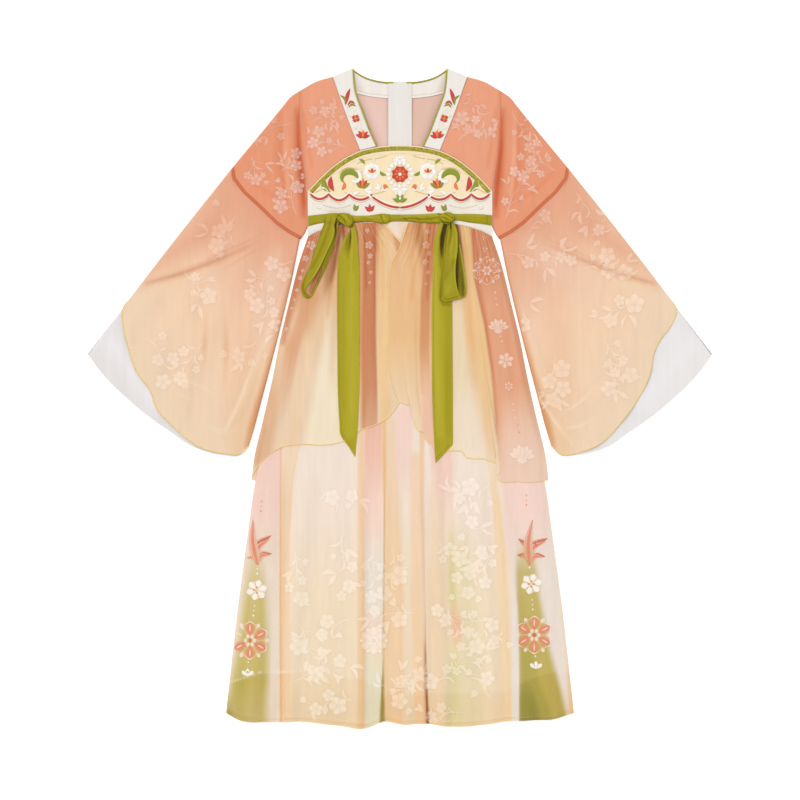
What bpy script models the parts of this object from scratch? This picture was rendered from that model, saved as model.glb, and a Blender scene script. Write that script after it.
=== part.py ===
"""A child's one-piece hanfu dress, laid flat on its back with the neck towards +Y.

Every piece of cloth is a closed wall of its own. Plans are drawn in millimetres from the middle of
the dress, x to the viewer's right and y up towards the neck, and z is the height over the surface
that the dress lies on. Layers lie on each other with one wall and one gap for each.
"""

import bmesh
import bpy
import numpy as np

MM = 0.001

# Driving dimensions, in millimetres.
WALL = 1.0  # thickness of a layer of cloth
GAP = 0.35  # clearance between two layers
SEAM = 0.3  # clearance between two pieces at a seam
HALF_CHEST = 152.0
WAIST_Y = 289.0
BACK_NECK_Y = 519.0
PIPING_R = 1.2
PIPING_ROOM = 3.2  # between the back neckline and its facing, for the piping
ZIP_GUARD_WIDTH = 39.0
ZIP_GUARD_Y = (330.0, 520.0)
BORDER_WIDTH = 7.0  # green band under the arch of the chest
BORDER_INSET = 2.0
OVERSKIRT_BACK_Y = -141.0
ON_OVERSKIRT = 120.0  # length over which the skirt comes down past the back overskirt
LINING_Y = -487.0
LINING_INSET = 16.0  # how far the lining stays inside the skirt's sides
LINING_FLARE = 10.0
SIDE_SLOPE = 16.0  # width over which the skirt's front comes down at a side seam
OVERSKIRT_SLOPE = 11.0  # the same for the overskirt
GATHERS = 10  # on each front overskirt
GATHER_RISE = 1.1
GATHER_LENGTH = 0.45  # share of the overskirt's length over which gathers fade
OVERSKIRT_LIFT = 0.6  # extra room under the overskirt for the skirt's folds

# Outlines of the left half: columns x, y.
ARMHOLE = ((-152, 281), (-152, 312), (-154, 345), (-161, 408), (-165, 474), (-165, 505))
SLEEVE_SEAM = ((-279, 375), (-276, 358), (-259, 335), (-239, 317), (-206, 285), (-185, 270), (-165, 259))
SHOULDER_TO_SEAM = ((-165, 505), (-182, 493), (-190, 483), (-279, 375))
UNDERARM = ((-152, 281), (-158, 268), (-165, 259))
SEAM_TO_HEM_TOP = ((-279, 375), (-365, 267), (-450, 157))
SEAM_TO_HEM_LOW = ((-165, 259), (-175, 210), (-198, 111), (-228, -5), (-241, -54), (-249, -80))
SLEEVE_HEM_LEFT = (
    (-450, 157), (-457, 145), (-457, 124), (-447, 79), (-436, 45), (-412, 10), (-400, -21),
    (-380, -42), (-350, -70), (-322, -86), (-289, -93), (-262, -93), (-249, -80),
)
SLEEVE_HEM_RIGHT = (
    (-450, 157), (-455, 146), (-446, 117), (-427, 92), (-417, 68), (-414, 47), (-404, 18),
    (-389, -8), (-367, -38), (-335, -73), (-300, -90), (-262, -93), (-249, -80),
)
CUFF = (
    (-515, 71), (-495, 43), (-455, 2), (-416, -31), (-376, -59), (-345, -80), (-322, -89),
    (-289, -96), (-264, -96), (-252, -83),
)
COLLAR_OUTER = ((-66, 407), (-86, 457), (-99, 493), (-111, 528))
COLLAR_INNER = ((-40, 413), (-50, 436), (-63, 470), (-74, 500), (-79, 541))
SHOULDER_SEAM = ((-165, 505), (-138, 520), (-111, 528))
BACK_NECK = ((-79, 541), (-58, 528), (-33, 521), (0, BACK_NECK_Y))
FACING_LOW = ((-81, 503), (-50, 496), (0, 492))
ARCH = ((-152, 340), (-132, 361), (-116, 376), (-91, 394), (-66, 406), (-40, 412), (0, 415))
WAIST = ((-152, 264), (-135, 273), (-107, 281.5), (-79, 286.5), (-40, WAIST_Y), (0, WAIST_Y))
OVERSKIRT_SIDE = (
    (-152, 264), (-165, 226), (-182, 160), (-198, 94), (-211, 28), (-226, -38), (-241, -104),
)
OVERSKIRT_BACK_HEM = ((-245, -136), (-228, OVERSKIRT_BACK_Y), (0, OVERSKIRT_BACK_Y))
SKIRT_SIDE = (
    (-148, 263), (-172, 160), (-201, 28), (-230, -100), (-241, -153), (-248, -203), (-266, -335),
    (-287, -521),
)

# The skirt's hem from side to side: columns x, y.
SKIRT_HEM = (
    (-287, -521), (-264, -533), (-223, -536), (-165, -535), (-99, -542), (-56, -546), (-28, -535),
    (8, -540), (40, -538), (79, -543), (132, -541), (172, -535), (214, -533), (251, -531), (287, -521),
)
# The overskirt's front hems, from the side to the front edge, and those edges, from hem to waist.
OVERSKIRT_HEM_LEFT = (
    (-244, -130), (-228, -106), (-211, -91), (-190, -81), (-165, -78), (-116, -78), (-89, -71),
    (-64, -54), (-41, -46), (-20, -34), (-4, -14),
)
OVERSKIRT_HEM_RIGHT = (
    (244, -137), (220, -140), (185, -138), (168, -128), (160, -109), (135, -102), (109, -99),
    (81, -89), (54, -79), (36, -58), (14, -10),
)
FRONT_EDGE_LEFT = ((-4, -14), (-9, 25), (-16, 78), (-18, 172), (-26, 287))
FRONT_EDGE_RIGHT = ((14, -10), (16, 46), (22, 117), (31, 226), (33, 287))

# Directions from the two edges of a lower sleeve into it.
FROM_TOP = (0.62, -0.78)
FROM_UNDERARM = (-0.98, 0.2)

# Folds that run from the waist to the hem: columns share of the width, half width of the fold as
# such a share, rise at the waist, rise at the hem.
SKIRT_FOLDS = (
    (0.075, 0.045, 0.2, 3.5),
    (0.180, 0.040, 0.4, 5.0),
    (0.275, 0.050, 0.3, 3.0),
    (0.375, 0.035, 0.5, 5.0),
    (0.505, 0.040, 0.3, 3.0),
    (0.570, 0.030, 0.5, 5.5),
    (0.625, 0.030, 0.5, 5.0),
    (0.690, 0.040, 0.2, 2.5),
    (0.770, 0.035, 0.5, 5.0),
    (0.850, 0.040, 0.3, 4.0),
    (0.935, 0.040, 0.2, 4.5),
)
KNIFE_PLEAT = (0.451, 0.060, 0.5, 4.5)  # its right side drops in one step
OVERSKIRT_FOLDS_LEFT = (
    (0.14, 0.08, 0.4, 2.0),
    (0.32, 0.08, 0.5, 2.6),
    (0.52, 0.07, 0.4, 1.8),
    (0.68, 0.06, 0.6, 2.6),
    (0.84, 0.07, 0.4, 2.4),
)
OVERSKIRT_FOLDS_RIGHT = (
    (0.13, 0.07, 0.4, 2.2),
    (0.29, 0.07, 0.5, 2.6),
    (0.45, 0.07, 0.4, 2.0),
    (0.63, 0.07, 0.6, 2.6),
    (0.82, 0.07, 0.5, 2.2),
)
# Folds of a wide sleeve, from its seam to its hem: the same columns, shares from the shoulder edge.
SLEEVE_FOLDS = (
    (0.15, 0.09, 0.5, 1.6),
    (0.36, 0.10, 0.8, 2.6),
    (0.58, 0.10, 0.6, 3.0),
    (0.80, 0.09, 0.9, 2.4),
)

# Shares of the length at which the pieces have points: the skirt's from hem to waist, the
# overskirt's from waist to hem, and the lower sleeves' from seam to hem.
SKIRT_ROWS = np.array((0, 0.03, 0.065, 0.13, 0.22, 0.32, 0.40, 0.48, 0.60, 0.75, 0.90, 0.97, 1))
OVERSKIRT_ROWS = np.array((0, 0.03, 0.08, 0.16, 0.28, 0.42, 0.56, 0.70, 0.84, 0.93, 1))
SLEEVE_ROWS = np.array((0, 0.08, 0.2, 0.35, 0.5, 0.65, 0.78, 0.88, 0.95, 1))

# The ties, in plan: rows are cross sections, columns x and y of one edge, then of the other.
BAND = (
    (-151.5, 301, -151.5, 283),
    (-128, 302, -127, 287),
    (-107, 303, -104, 288),
    (-79, 300, -79, 288),
    (-50, 299, -50, 289),
    (-28, 302, -24, 285),
    (0, 300, 0, 290),
    (34, 300, 34, 287),
    (66, 303, 66, 286),
    (91, 304, 91, 289),
    (120, 304, 120, 287),
    (151.5, 302, 151.5, 284),
)
TAIL_LEFT = (
    (-88, 281.5, -79, 281.5),
    (-95, 250, -72, 250),
    (-102, 205, -67, 205),
    (-102, 140, -67, 140),
    (-102, 70, -67, 70),
    (-102, 0, -68, 0),
    (-100, -40, -70, -45),
    (-97, -64, -73, -92),
    (-75, -97, -73.5, -98.5),
)
TAIL_RIGHT = (
    (67, 281.5, 75, 281.5),
    (57, 258, 81, 257),
    (54, 205, 87, 205),
    (53, 140, 87, 140),
    (53, 70, 87, 70),
    (53, 0, 87, 0),
    (55, -45, 87, -40),
    (57, -90, 87, -79),
    (58.5, -108.5, 60, -107.5),
)
# Outer edge and hole of each loop, in the same order round: columns x, y, x of the hole, y of the hole.
LOOP_LEFT = (
    (-121, 281.5, -111, 270),
    (-129, 267, -114, 248),
    (-148, 223, -127, 221),
    (-162, 193, -144, 193),
    (-164, 176, -154, 178),
    (-155, 163, -153, 170),
    (-145, 167, -149, 171),
    (-132, 191, -139, 193),
    (-117, 223, -122, 222),
    (-107, 251, -112, 248),
    (-100, 281.5, -107, 270),
)
LOOP_RIGHT = (
    (78, 281.5, 91, 262),
    (73, 262, 92, 250),
    (69, 223, 92, 223),
    (67, 193, 93, 194),
    (66, 170, 97, 178),
    (80, 158, 101, 170),
    (107, 164, 104, 176),
    (109, 185, 105, 190),
    (105, 212, 101, 212),
    (99, 246, 96, 248),
    (88, 281.5, 93, 262),
)
# Knots: columns x, y, half sizes in x, y and z.
KNOTS = {"left": (-92, 293.5, 15, 10.5, 4.5), "right": (76, 294, 13, 11, 4.5)}

# Finishes: sRGB colour of the cloth, and roughness.
CLOTH = {
    "coral chiffon": ((0.90, 0.62, 0.50), 0.75),
    "dyed chiffon": ((0.94, 0.78, 0.64), 0.75),
    "cream chiffon": ((0.96, 0.88, 0.77), 0.75),
    "white cotton": ((0.94, 0.91, 0.88), 0.85),
    "blush lining": ((0.93, 0.80, 0.76), 0.70),
    "green satin": ((0.64, 0.60, 0.18), 0.45),
    "green stitching": ((0.60, 0.62, 0.20), 0.60),
}

TOPS = {}  # highest points of each finished piece, for what lies on it


def level(number):
    """Height of the underside of a layer, counted from the surface up."""
    return number * (WALL + GAP)


def smooth(share):
    share = np.clip(share, 0.0, 1.0)
    return share * share * (3.0 - 2.0 * share)


def curve(points):
    """A smooth curve through points, as a function of the share of its length."""
    points = np.array(points, float)
    chord = np.linalg.norm(np.diff(points, axis=0), axis=1)
    knots = np.concatenate([[0.0], np.cumsum(chord)])
    if len(points) == 2:
        slopes = np.repeat(np.diff(points, axis=0) / chord[:, None], 2, axis=0)
    else:
        slopes = np.gradient(points, knots, axis=0)
    fine = np.linspace(0.0, knots[-1], 40 * len(points))
    span = np.clip(np.searchsorted(knots, fine, side="right") - 1, 0, len(points) - 2)
    size = chord[span][:, None]
    t = (fine - knots[span])[:, None] / size
    traced = (
        (1 + 2 * t) * (1 - t) ** 2 * points[span]
        + t * (1 - t) ** 2 * size * slopes[span]
        + t * t * (3 - 2 * t) * points[span + 1]
        - t * t * (1 - t) * size * slopes[span + 1]
    )
    run = np.concatenate([[0.0], np.cumsum(np.linalg.norm(np.diff(traced, axis=0), axis=1))])
    run /= run[-1]

    def at(share):
        share = np.asarray(share, float)
        return np.stack([np.interp(share, run, traced[:, k]) for k in (0, 1)], axis=-1)

    return at


def mirrored(points):
    return tuple((-x, y) for x, y in points)


def both_halves(points):
    """An outline of the left half that ends on the middle, carried on over the right half."""
    return tuple(points) + mirrored(points)[-2::-1]


def shifted(points, dx, dy):
    return tuple((x + dx, y + dy) for x, y in points)


def offset(points, distance):
    """Points moved sideways, to the right of their direction when distance is positive."""
    ahead = np.gradient(points, axis=0)
    ahead /= np.linalg.norm(ahead, axis=1)[:, None]
    return points + distance * np.stack([ahead[:, 1], -ahead[:, 0]], axis=1)


def patch(left, right, low, high, across, along):
    """Plan points that fill four edges. left and right run from low to high."""
    left, right, low, high = (curve(edge) for edge in (left, right, low, high))
    u = np.broadcast_to(np.asarray(across, float), (len(along), np.shape(across)[-1]))
    v = np.asarray(along, float)[:, None]
    u3, v3 = u[..., None], v[..., None]
    sides = (1 - u3) * left(along)[:, None] + u3 * right(along)[:, None]
    ends = (1 - v3) * low(u) + v3 * high(u)
    corners = (1 - v3) * ((1 - u3) * low(0.0) + u3 * low(1.0)) + v3 * (
        (1 - u3) * high(0.0) + u3 * high(1.0)
    )
    return sides + ends - corners


def side_distance(plan):
    """Distance of each plan point from the nearer end of its row."""
    run = np.linalg.norm(np.diff(plan, axis=1), axis=2)
    run = np.concatenate([np.zeros((len(plan), 1)), np.cumsum(run, axis=1)], axis=1)
    return np.minimum(run, run[:, -1:] - run)


def fold_rise(across, along, folds):
    """Height of the folds at shares across a piece and along it, from 0 at the waist to 1 at the hem."""
    rise = np.zeros(np.broadcast(across, along).shape)
    for middle, half_width, at_waist, at_hem in folds:
        crest = np.cos(np.clip((across - middle) / half_width, -1, 1) * np.pi / 2) ** 2
        rise += crest * (at_waist + (at_hem - at_waist) * along)
    return rise


def finish_of(kind):
    """The material of a kind of cloth, made once."""
    found = bpy.data.materials.get(kind)
    if found:
        return found
    colour, roughness = CLOTH[kind]
    material = bpy.data.materials.new(kind)
    material.use_nodes = True
    shader = material.node_tree.nodes["Principled BSDF"]
    shader.inputs["Base Color"].default_value = [c**2.2 for c in colour] + [1.0]
    shader.inputs["Roughness"].default_value = roughness
    shader.inputs["Metallic"].default_value = 0.0
    return material


def add_piece(name, points, faces, kind):
    """A named object from points in millimetres, with its faces turned outwards."""
    mesh = bpy.data.meshes.new(name)
    mesh.from_pydata([tuple(p) for p in np.asarray(points) * MM], [], faces)
    work = bmesh.new()
    work.from_mesh(mesh)
    bmesh.ops.recalc_face_normals(work, faces=work.faces)
    work.to_mesh(mesh)
    work.free()
    mesh.materials.append(finish_of(kind))
    mesh.shade_smooth()
    mesh.set_sharp_from_angle(angle=np.radians(40))
    piece = bpy.data.objects.new(name, mesh)
    bpy.context.scene.collection.objects.link(piece)
    return piece


def strips(rows, columns, closed=False):
    """Pairs of triangles over a grid of rows and columns. closed joins the last column to the first."""
    faces = []
    for row in range(rows - 1):
        for column in range(columns if closed else columns - 1):
            beside = (column + 1) % columns
            a, b = row * columns + column, row * columns + beside
            c, d = a + columns, b + columns
            faces += [(a, b, d), (a, d, c)]
    return faces


def rim(first, second):
    """Pairs of triangles between two open or closed lists of point numbers."""
    faces = []
    for k in range(len(first) - 1):
        faces += [(first[k], first[k + 1], second[k + 1]), (first[k], second[k + 1], second[k])]
    return faces


def panel(name, plan, underside, kind, wall=WALL):
    """A wall of cloth over a plan of rows and columns, with the height of its underside."""
    rows, columns = plan.shape[:2]
    underside = np.broadcast_to(underside, (rows, columns))
    under = np.concatenate([plan, underside[..., None]], axis=2).reshape(-1, 3)
    over = under + (0, 0, wall)
    count = rows * columns
    edge = (
        list(range(columns))
        + [r * columns + columns - 1 for r in range(1, rows)]
        + [(rows - 1) * columns + c for c in range(columns - 2, -1, -1)]
        + [r * columns for r in range(rows - 2, -1, -1)]
    )
    faces = strips(rows, columns)
    faces += [tuple(count + corner for corner in face[::-1]) for face in faces]
    faces += rim(edge, [count + corner for corner in edge])
    TOPS[name] = over
    return add_piece(name, np.concatenate([under, over]), faces, kind)


def tube(name, plan, underside, upside, kind):
    """A flattened tube of cloth, open at the first and last row, folded at its first and last column."""
    rows, columns = plan.shape[:2]
    underside = np.broadcast_to(underside, (rows, columns))
    upside = np.broadcast_to(upside, (rows, columns))
    inside = plan.copy()
    for edge, beside in ((0, 1), (-1, -2)):
        inward = plan[:, beside] - plan[:, edge]
        inward /= np.linalg.norm(inward, axis=1)[:, None]
        inside[:, edge] += inward * WALL

    def ring(shape, low, high):
        over = np.concatenate([shape, high[..., None]], axis=2)
        under = np.concatenate([shape, low[..., None]], axis=2)
        return np.concatenate([over, under[:, ::-1]], axis=1)

    outer = ring(plan, underside, upside).reshape(-1, 3)
    inner = ring(inside, underside + WALL, upside - WALL).reshape(-1, 3)
    round_ = 2 * columns
    count = rows * round_
    faces = strips(rows, round_, closed=True)
    faces += [tuple(count + corner for corner in face[::-1]) for face in faces]
    for start in (0, count - round_):
        first = [start + k % round_ for k in range(round_ + 1)]
        faces += rim(first, [count + corner for corner in first])
    TOPS[name] = outer
    return add_piece(name, np.concatenate([outer, inner]), faces, kind)


def cord(name, route, radius, kind, sides=6):
    """A round cord along points in millimetres, with flat ends."""
    route = np.array(route, float)
    ahead = np.gradient(route, axis=0)
    ahead /= np.linalg.norm(ahead, axis=1)[:, None]
    beside = np.cross(ahead, (0, 0, 1))
    beside /= np.linalg.norm(beside, axis=1)[:, None]
    above = np.cross(beside, ahead)
    points = []
    for turn in np.arange(sides) / sides * 2 * np.pi:
        points.append(route + radius * (np.cos(turn) * beside + np.sin(turn) * above))
    points = np.stack(points, axis=1).reshape(-1, 3)
    last = (len(route) - 1) * sides
    faces = strips(len(route), sides, closed=True)
    faces += [tuple(range(sides)), tuple(range(last, last + sides))]
    return add_piece(name, points, faces, kind)


def height_over(points, below, reach):
    """Height that clears the named pieces under plan points, from their points within reach."""
    stacked = np.concatenate([TOPS[name] for name in below])
    heights = np.zeros(points.shape[:-1])
    for place in np.ndindex(heights.shape):
        near = np.abs(stacked[:, :2] - points[place]).max(axis=1) < reach
        heights[place] = stacked[near, 2].max(initial=0.0)
    return heights + GAP


def eased(heights):
    """Heights along rows, smoothed without ever coming below the ones given."""
    padded = np.concatenate([heights[:1], heights, heights[-1:]])
    wide = np.maximum(np.maximum(padded[:-2], padded[2:]), heights)
    padded = np.concatenate([wide[:1], wide, wide[-1:]])
    return np.maximum((padded[:-2] + padded[1:-1] + padded[2:]) / 3, heights)


def even(count):
    return np.linspace(0.0, 1.0, count)


def on_overskirt(plan):
    """Height that the back overskirt gives the skirt, down to 0 where that has reached the surface."""
    lowest = OVERSKIRT_BACK_Y - 5 - ON_OVERSKIRT
    return level(1) * smooth((plan[..., 1] - lowest) / ON_OVERSKIRT)


def make_bodice_back():
    """The two halves of the back, each from the middle to its armhole."""
    middle = ((-SEAM / 2, WAIST_Y), (-SEAM / 2, BACK_NECK_Y))
    shoulder = SHOULDER_SEAM + BACK_NECK[:-1] + middle[1:]
    low = WAIST[:-1] + middle[:1]
    armhole = WAIST[:1] + ARMHOLE
    plan = patch(armhole, middle, low, shoulder, even(10), even(9))
    panel("bodice_back_left", plan, 0.0, "blush lining")
    panel("bodice_back_right", plan * (-1, 1), 0.0, "blush lining")


def make_neck():
    """Facing and zip guard inside the back, the collar bands and the green piping."""
    top = both_halves(shifted(BACK_NECK, 0, -PIPING_ROOM))
    low = both_halves(FACING_LOW)
    left = (FACING_LOW[0], top[0])
    plan = patch(left, mirrored(left), low, top, even(17), even(3))
    panel("back_neck_facing", plan, level(1), "white cotton")

    left = tuple((-ZIP_GUARD_WIDTH / 2, y) for y in ZIP_GUARD_Y)
    right = mirrored(left)
    low, high = zip(left, right)
    plan = patch(left, right, low, high, even(3), even(9))
    below_facing = smooth((FACING_LOW[-1][1] - 2 - plan[..., 1]) / 70)
    panel("zip_guard", plan, level(2) - level(1) * below_facing, "white cotton")

    outer = shifted(COLLAR_OUTER, SEAM, SEAM)
    inner = shifted(COLLAR_INNER, 0, SEAM)
    low, high = (outer[0], inner[0]), (outer[-1], inner[-1])
    collar = patch(outer, inner, low, high, even(3), even(8))
    for side, turn in (("left", 1), ("right", -1)):
        panel(f"collar_{side}", collar * (turn, 1), level(2), "white cotton")
        edge = offset(curve(COLLAR_INNER)(even(9)), PIPING_R + SEAM)
        rise = np.full((9, 1), level(2) + PIPING_R)
        cord(f"collar_piping_{side}", np.hstack([edge, rise]) * (turn, 1, 1), PIPING_R, "green satin")
        edge = curve(BACK_NECK)(np.linspace(0.06, 0.72, 6)) - (0, PIPING_R)
        rise = np.full((6, 1), level(1) + PIPING_R)
        cord(f"back_neck_piping_{side}", np.hstack([edge, rise]) * (turn, 1, 1), PIPING_R, "green satin")


def make_fronts():
    """The coral shoulders between collar and armhole."""
    arch = ARCH[:5]
    armhole = arch[:1] + ARMHOLE[3:]
    plan = patch(armhole, COLLAR_OUTER, shifted(arch, 0, SEAM), SHOULDER_SEAM, even(8), even(8))
    panel("front_left", plan, level(1), "coral chiffon")
    panel("front_right", plan * (-1, 1), level(1), "coral chiffon")


def chest_height(plan):
    """Underside of the chest panel: low at the side seams, and up to the skirt's layers at the waist."""
    inward = HALF_CHEST - np.abs(plan[..., 0])
    upper = level(1) + level(1) * smooth(inward / 80)
    at_waist = level(2) + level(2) * smooth(inward / 40)
    return upper + (at_waist - upper) * smooth((WAIST_Y + 30 - plan[..., 1]) / 40)


def make_chest():
    """The arched chest panel, and the green band that follows the arch a little inside its edge."""
    arch = shifted(both_halves(ARCH), 0, -SEAM)
    waist = shifted(both_halves(WAIST), 0, SEAM)
    left = (waist[0], (-HALF_CHEST, 300), arch[0])
    plan = patch(left, mirrored(left), waist, arch, even(25), (0, 0.12, 0.3, 0.55, 0.8, 1))
    panel("chest_panel", plan, chest_height(plan), "white cotton")

    outer = curve(both_halves(ARCH))(np.linspace(0.005, 0.995, 27))
    plan = np.stack([offset(outer, BORDER_INSET + BORDER_WIDTH * share) for share in (1, 0.5, 0)])
    panel("chest_border", plan, height_over(plan, ["chest_panel"], 12.0), "green stitching")


def make_sleeves():
    """Upper sleeve, wide lower sleeve and the white sleeve inside it, all flattened tubes."""
    for side, turn, hem in (("left", 1, SLEEVE_HEM_LEFT), ("right", -1, SLEEVE_HEM_RIGHT)):
        flip = (turn, 1)
        armhole = shifted(ARMHOLE[::-1], -SEAM, 0)
        across, along = even(13), even(5)
        grid = patch(
            armhole, SLEEVE_SEAM, shifted(SHOULDER_TO_SEAM, -SEAM / 2, 0), UNDERARM, along, across
        )
        plan = grid.transpose(1, 0, 2)
        rise = smooth(along)[:, None] * level(2) + 0.4 * np.sin(np.pi * across)[None, :]
        tube(f"upper_sleeve_{side}", plan * flip, 0.0, level(1) + WALL + rise, "coral chiffon")

        across, along = even(13), SLEEVE_ROWS
        seam = shifted(SLEEVE_SEAM, -SEAM, -SEAM)
        top = (seam[0],) + SEAM_TO_HEM_TOP[1:]
        low = (seam[-1],) + SEAM_TO_HEM_LOW[1:]
        grid = patch(seam, hem, top, low, along, across)
        plan = grid.transpose(1, 0, 2)
        folds = fold_rise(across[None, :], along[:, None], SLEEVE_FOLDS) * smooth(along * 4)[:, None]
        tube(f"lower_sleeve_{side}", plan * flip, 0.0, level(3) + WALL + folds, "dyed chiffon")

        hidden = plan[1::2, ::2].copy()
        hidden[:, 0] += level(1) * np.array(FROM_TOP)
        hidden[:, -1] += level(2) * np.array(FROM_UNDERARM)
        cuff = curve(CUFF)(even(hidden.shape[1]))
        reach = cuff - hidden[-1]
        shown = [hidden[-1] + reach * share for share in (0.5, 1.0)]
        length = np.linalg.norm(reach, axis=1)
        drop = smooth(length / 60) * level(1)
        plan = np.concatenate([hidden, shown])
        fall = np.zeros(plan.shape[:2])
        fall[-2], fall[-1] = drop * 0.4, drop
        tube(
            f"inner_sleeve_{side}", plan * flip, level(1) - fall, level(2) + WALL - fall, "white cotton"
        )


def make_skirt():
    """Long skirt: a plain back, a lining and a front with folds and one knife pleat."""
    waist = shifted(both_halves(WAIST), 0, -SEAM)
    hem = shifted(both_halves(OVERSKIRT_BACK_HEM), 0, -SEAM)
    side = hem[:1] + shifted(OVERSKIRT_SIDE[::-1], 0, -SEAM)
    plan = patch(side, mirrored(side), hem, waist, even(19), even(6))
    panel("overskirt_back", plan, 0.0, "dyed chiffon")

    side = shifted(SKIRT_SIDE[::-1], 0, -SEAM)
    hem = shifted(SKIRT_HEM, 0, -SEAM)
    top = (side[-1],) + waist[1:-1] + (mirrored(side)[-1],)
    rows = SKIRT_ROWS
    plan = patch(side, mirrored(side), hem, top, even(15), rows)
    panel("skirt_back", plan, on_overskirt(plan), "cream chiffon")

    inner_side = shifted(side[1:], LINING_INSET, 0)
    inner_side = ((inner_side[0][0] - LINING_FLARE, LINING_Y),) + inner_side
    hem = (inner_side[0], (0, LINING_Y - 6), mirrored(inner_side)[0])
    middle_waist = tuple(place for place in waist if abs(place[0]) < 110)
    inner_top = inner_side[-1:] + middle_waist + mirrored(inner_side)[-1:]
    plan = patch(inner_side, mirrored(inner_side), hem, inner_top, even(7), rows)
    base = level(1) + on_overskirt(plan)
    tube("skirt_lining", plan, base, base + level(1) + WALL, "white cotton")

    pleat = KNIFE_PLEAT[0]
    across = np.sort(np.concatenate([even(47), (pleat - 0.001, pleat + 0.006, 0.012, 0.988)]))
    plan = patch(side, mirrored(side), SKIRT_HEM, top, across, rows)
    along = 1 - rows[:, None]
    shown = smooth((OVERSKIRT_BACK_Y + 60 - plan[..., 1]) / 110)
    folds = fold_rise(across[None, :], along, SKIRT_FOLDS)
    left_of_pleat = fold_rise(across[None, :], along, (KNIFE_PLEAT,)) * (across[None, :] < pleat)
    folds = (folds + left_of_pleat) * (0.15 + 0.85 * shown)
    inward = smooth(side_distance(plan) / SIDE_SLOPE)
    past_lining = level(2) * smooth((LINING_Y - 10 - plan[..., 1]) / 40)
    base = level(1) + on_overskirt(plan) + (level(2) - past_lining) * inward
    panel("skirt_front", plan, base + folds * inward, "cream chiffon")


def make_overskirt():
    """The two front halves of the overskirt, gathered at the waist and open in the middle."""
    rows = 1 - OVERSKIRT_ROWS[::-1]
    sides = (
        ("left", 1, OVERSKIRT_HEM_LEFT, FRONT_EDGE_LEFT, OVERSKIRT_FOLDS_LEFT),
        ("right", -1, OVERSKIRT_HEM_RIGHT, FRONT_EDGE_RIGHT, OVERSKIRT_FOLDS_RIGHT),
    )
    for side, turn, hem, front, folds in sides:
        flip = np.array((turn, 1))
        outer = shifted(OVERSKIRT_SIDE[::-1], 0, -SEAM)
        outer = np.concatenate([[hem[0]], np.array(outer) * flip])
        waist = [(x * turn, y - SEAM) for x, y in WAIST if x < -50]
        waist.append(front[-1])
        across = np.concatenate([[0, 0.012], even(4 * GATHERS + 1)[1:]])
        plan = patch(outer, front, hem, waist, across, rows)
        along = 1 - rows[:, None]
        inward = smooth(np.linalg.norm(plan - plan[:, :1], axis=2) / OVERSKIRT_SLOPE)
        gathers = 0.5 - 0.5 * np.cos(2 * np.pi * GATHERS * across[None, :])
        fade = smooth(1 - along / GATHER_LENGTH) * (0.4 + 0.6 * smooth(along / 0.06))
        rise = fold_rise(across[None, :], along, folds) * smooth(along * 3) + GATHER_RISE * gathers * fade
        top = level(4) * inward + OVERSKIRT_LIFT * inward * smooth(along * 6)
        panel(f"overskirt_{side}", plan, level(1) + top + rise * inward, "dyed chiffon")


def strip_plan(rows):
    """Plan of a ribbon with a middle line, from the two edges of each row."""
    rows = np.array(rows, float)
    first, second = rows[:, :2], rows[:, 2:]
    return np.stack([first, (first + second) / 2, second], axis=1)


def make_ties():
    """The band round the chest, and a knot with a loop and a tail on each side."""
    plan = strip_plan(BAND)
    below = ["chest_panel", "overskirt_left", "overskirt_right"]
    heights = eased(height_over(plan, below, 14.0))
    panel("tie_band", plan, heights.max(axis=1, keepdims=True), "green satin")

    skirts = ["overskirt_left", "overskirt_right", "skirt_front"]
    for side, rows, loop in (("left", TAIL_LEFT, LOOP_LEFT), ("right", TAIL_RIGHT, LOOP_RIGHT)):
        plan = strip_plan(rows)
        fine = [curve(plan[:, k])(even(16)) for k in range(3)]
        plan = np.stack(fine, axis=1)
        heights = height_over(plan, skirts + ["tie_band"], 16.0).max(axis=1, keepdims=True)
        panel(f"tie_tail_{side}", plan, eased(heights), "green satin")

        loop = np.array(loop, float)
        outer, hole = loop[:, :2], loop[:, 2:]
        plan = np.stack([outer, hole], axis=1)
        heights = height_over(plan, skirts + ["tie_band", f"tie_tail_{side}"], 30.0)
        rise = np.broadcast_to(heights.max(axis=1, keepdims=True), heights.shape)
        washer(f"tie_loop_{side}", plan, rise, "green satin")

        x, y, half_x, half_y, half_z = KNOTS[side]
        place = np.array([[(x, y)]])
        floor = height_over(place, ["tie_band"], half_x)[0, 0]
        knot(f"tie_knot_{side}", (x, y, floor + half_z), (half_x, half_y, half_z))


def washer(name, plan, heights, kind):
    """A closed ring of cloth, from the outer edge and the hole of each row."""
    under = np.concatenate([plan, heights[..., None]], axis=2).reshape(-1, 3)
    over = under + (0, 0, WALL)
    count = len(under)
    rows = len(plan)
    faces = []
    for row in range(rows):
        a, b = 2 * row, 2 * row + 1
        c, d = 2 * ((row + 1) % rows), 2 * ((row + 1) % rows) + 1
        faces += [(a, b, d), (a, d, c), (count + a, count + d, count + b), (count + a, count + c, count + d)]
        faces += [(a, c, count + c), (a, count + c, count + a), (b, count + d, d), (b, count + b, count + d)]
    TOPS[name] = over
    add_piece(name, np.concatenate([under, over]), faces, kind)


def knot(name, middle, half_sizes):
    """A soft lump of ribbon."""
    mesh = bpy.data.meshes.new(name)
    work = bmesh.new()
    bmesh.ops.create_uvsphere(work, u_segments=12, v_segments=8, radius=1.0)
    for vert in work.verts:
        wrap = 1 + 0.08 * np.sin(3 * np.arctan2(vert.co.y, vert.co.x))
        vert.co = [(c * h * wrap + m) * MM for c, h, m in zip(vert.co, half_sizes, middle)]
    work.to_mesh(mesh)
    work.free()
    mesh.materials.append(finish_of("green satin"))
    mesh.shade_smooth()
    bpy.context.scene.collection.objects.link(bpy.data.objects.new(name, mesh))


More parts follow.
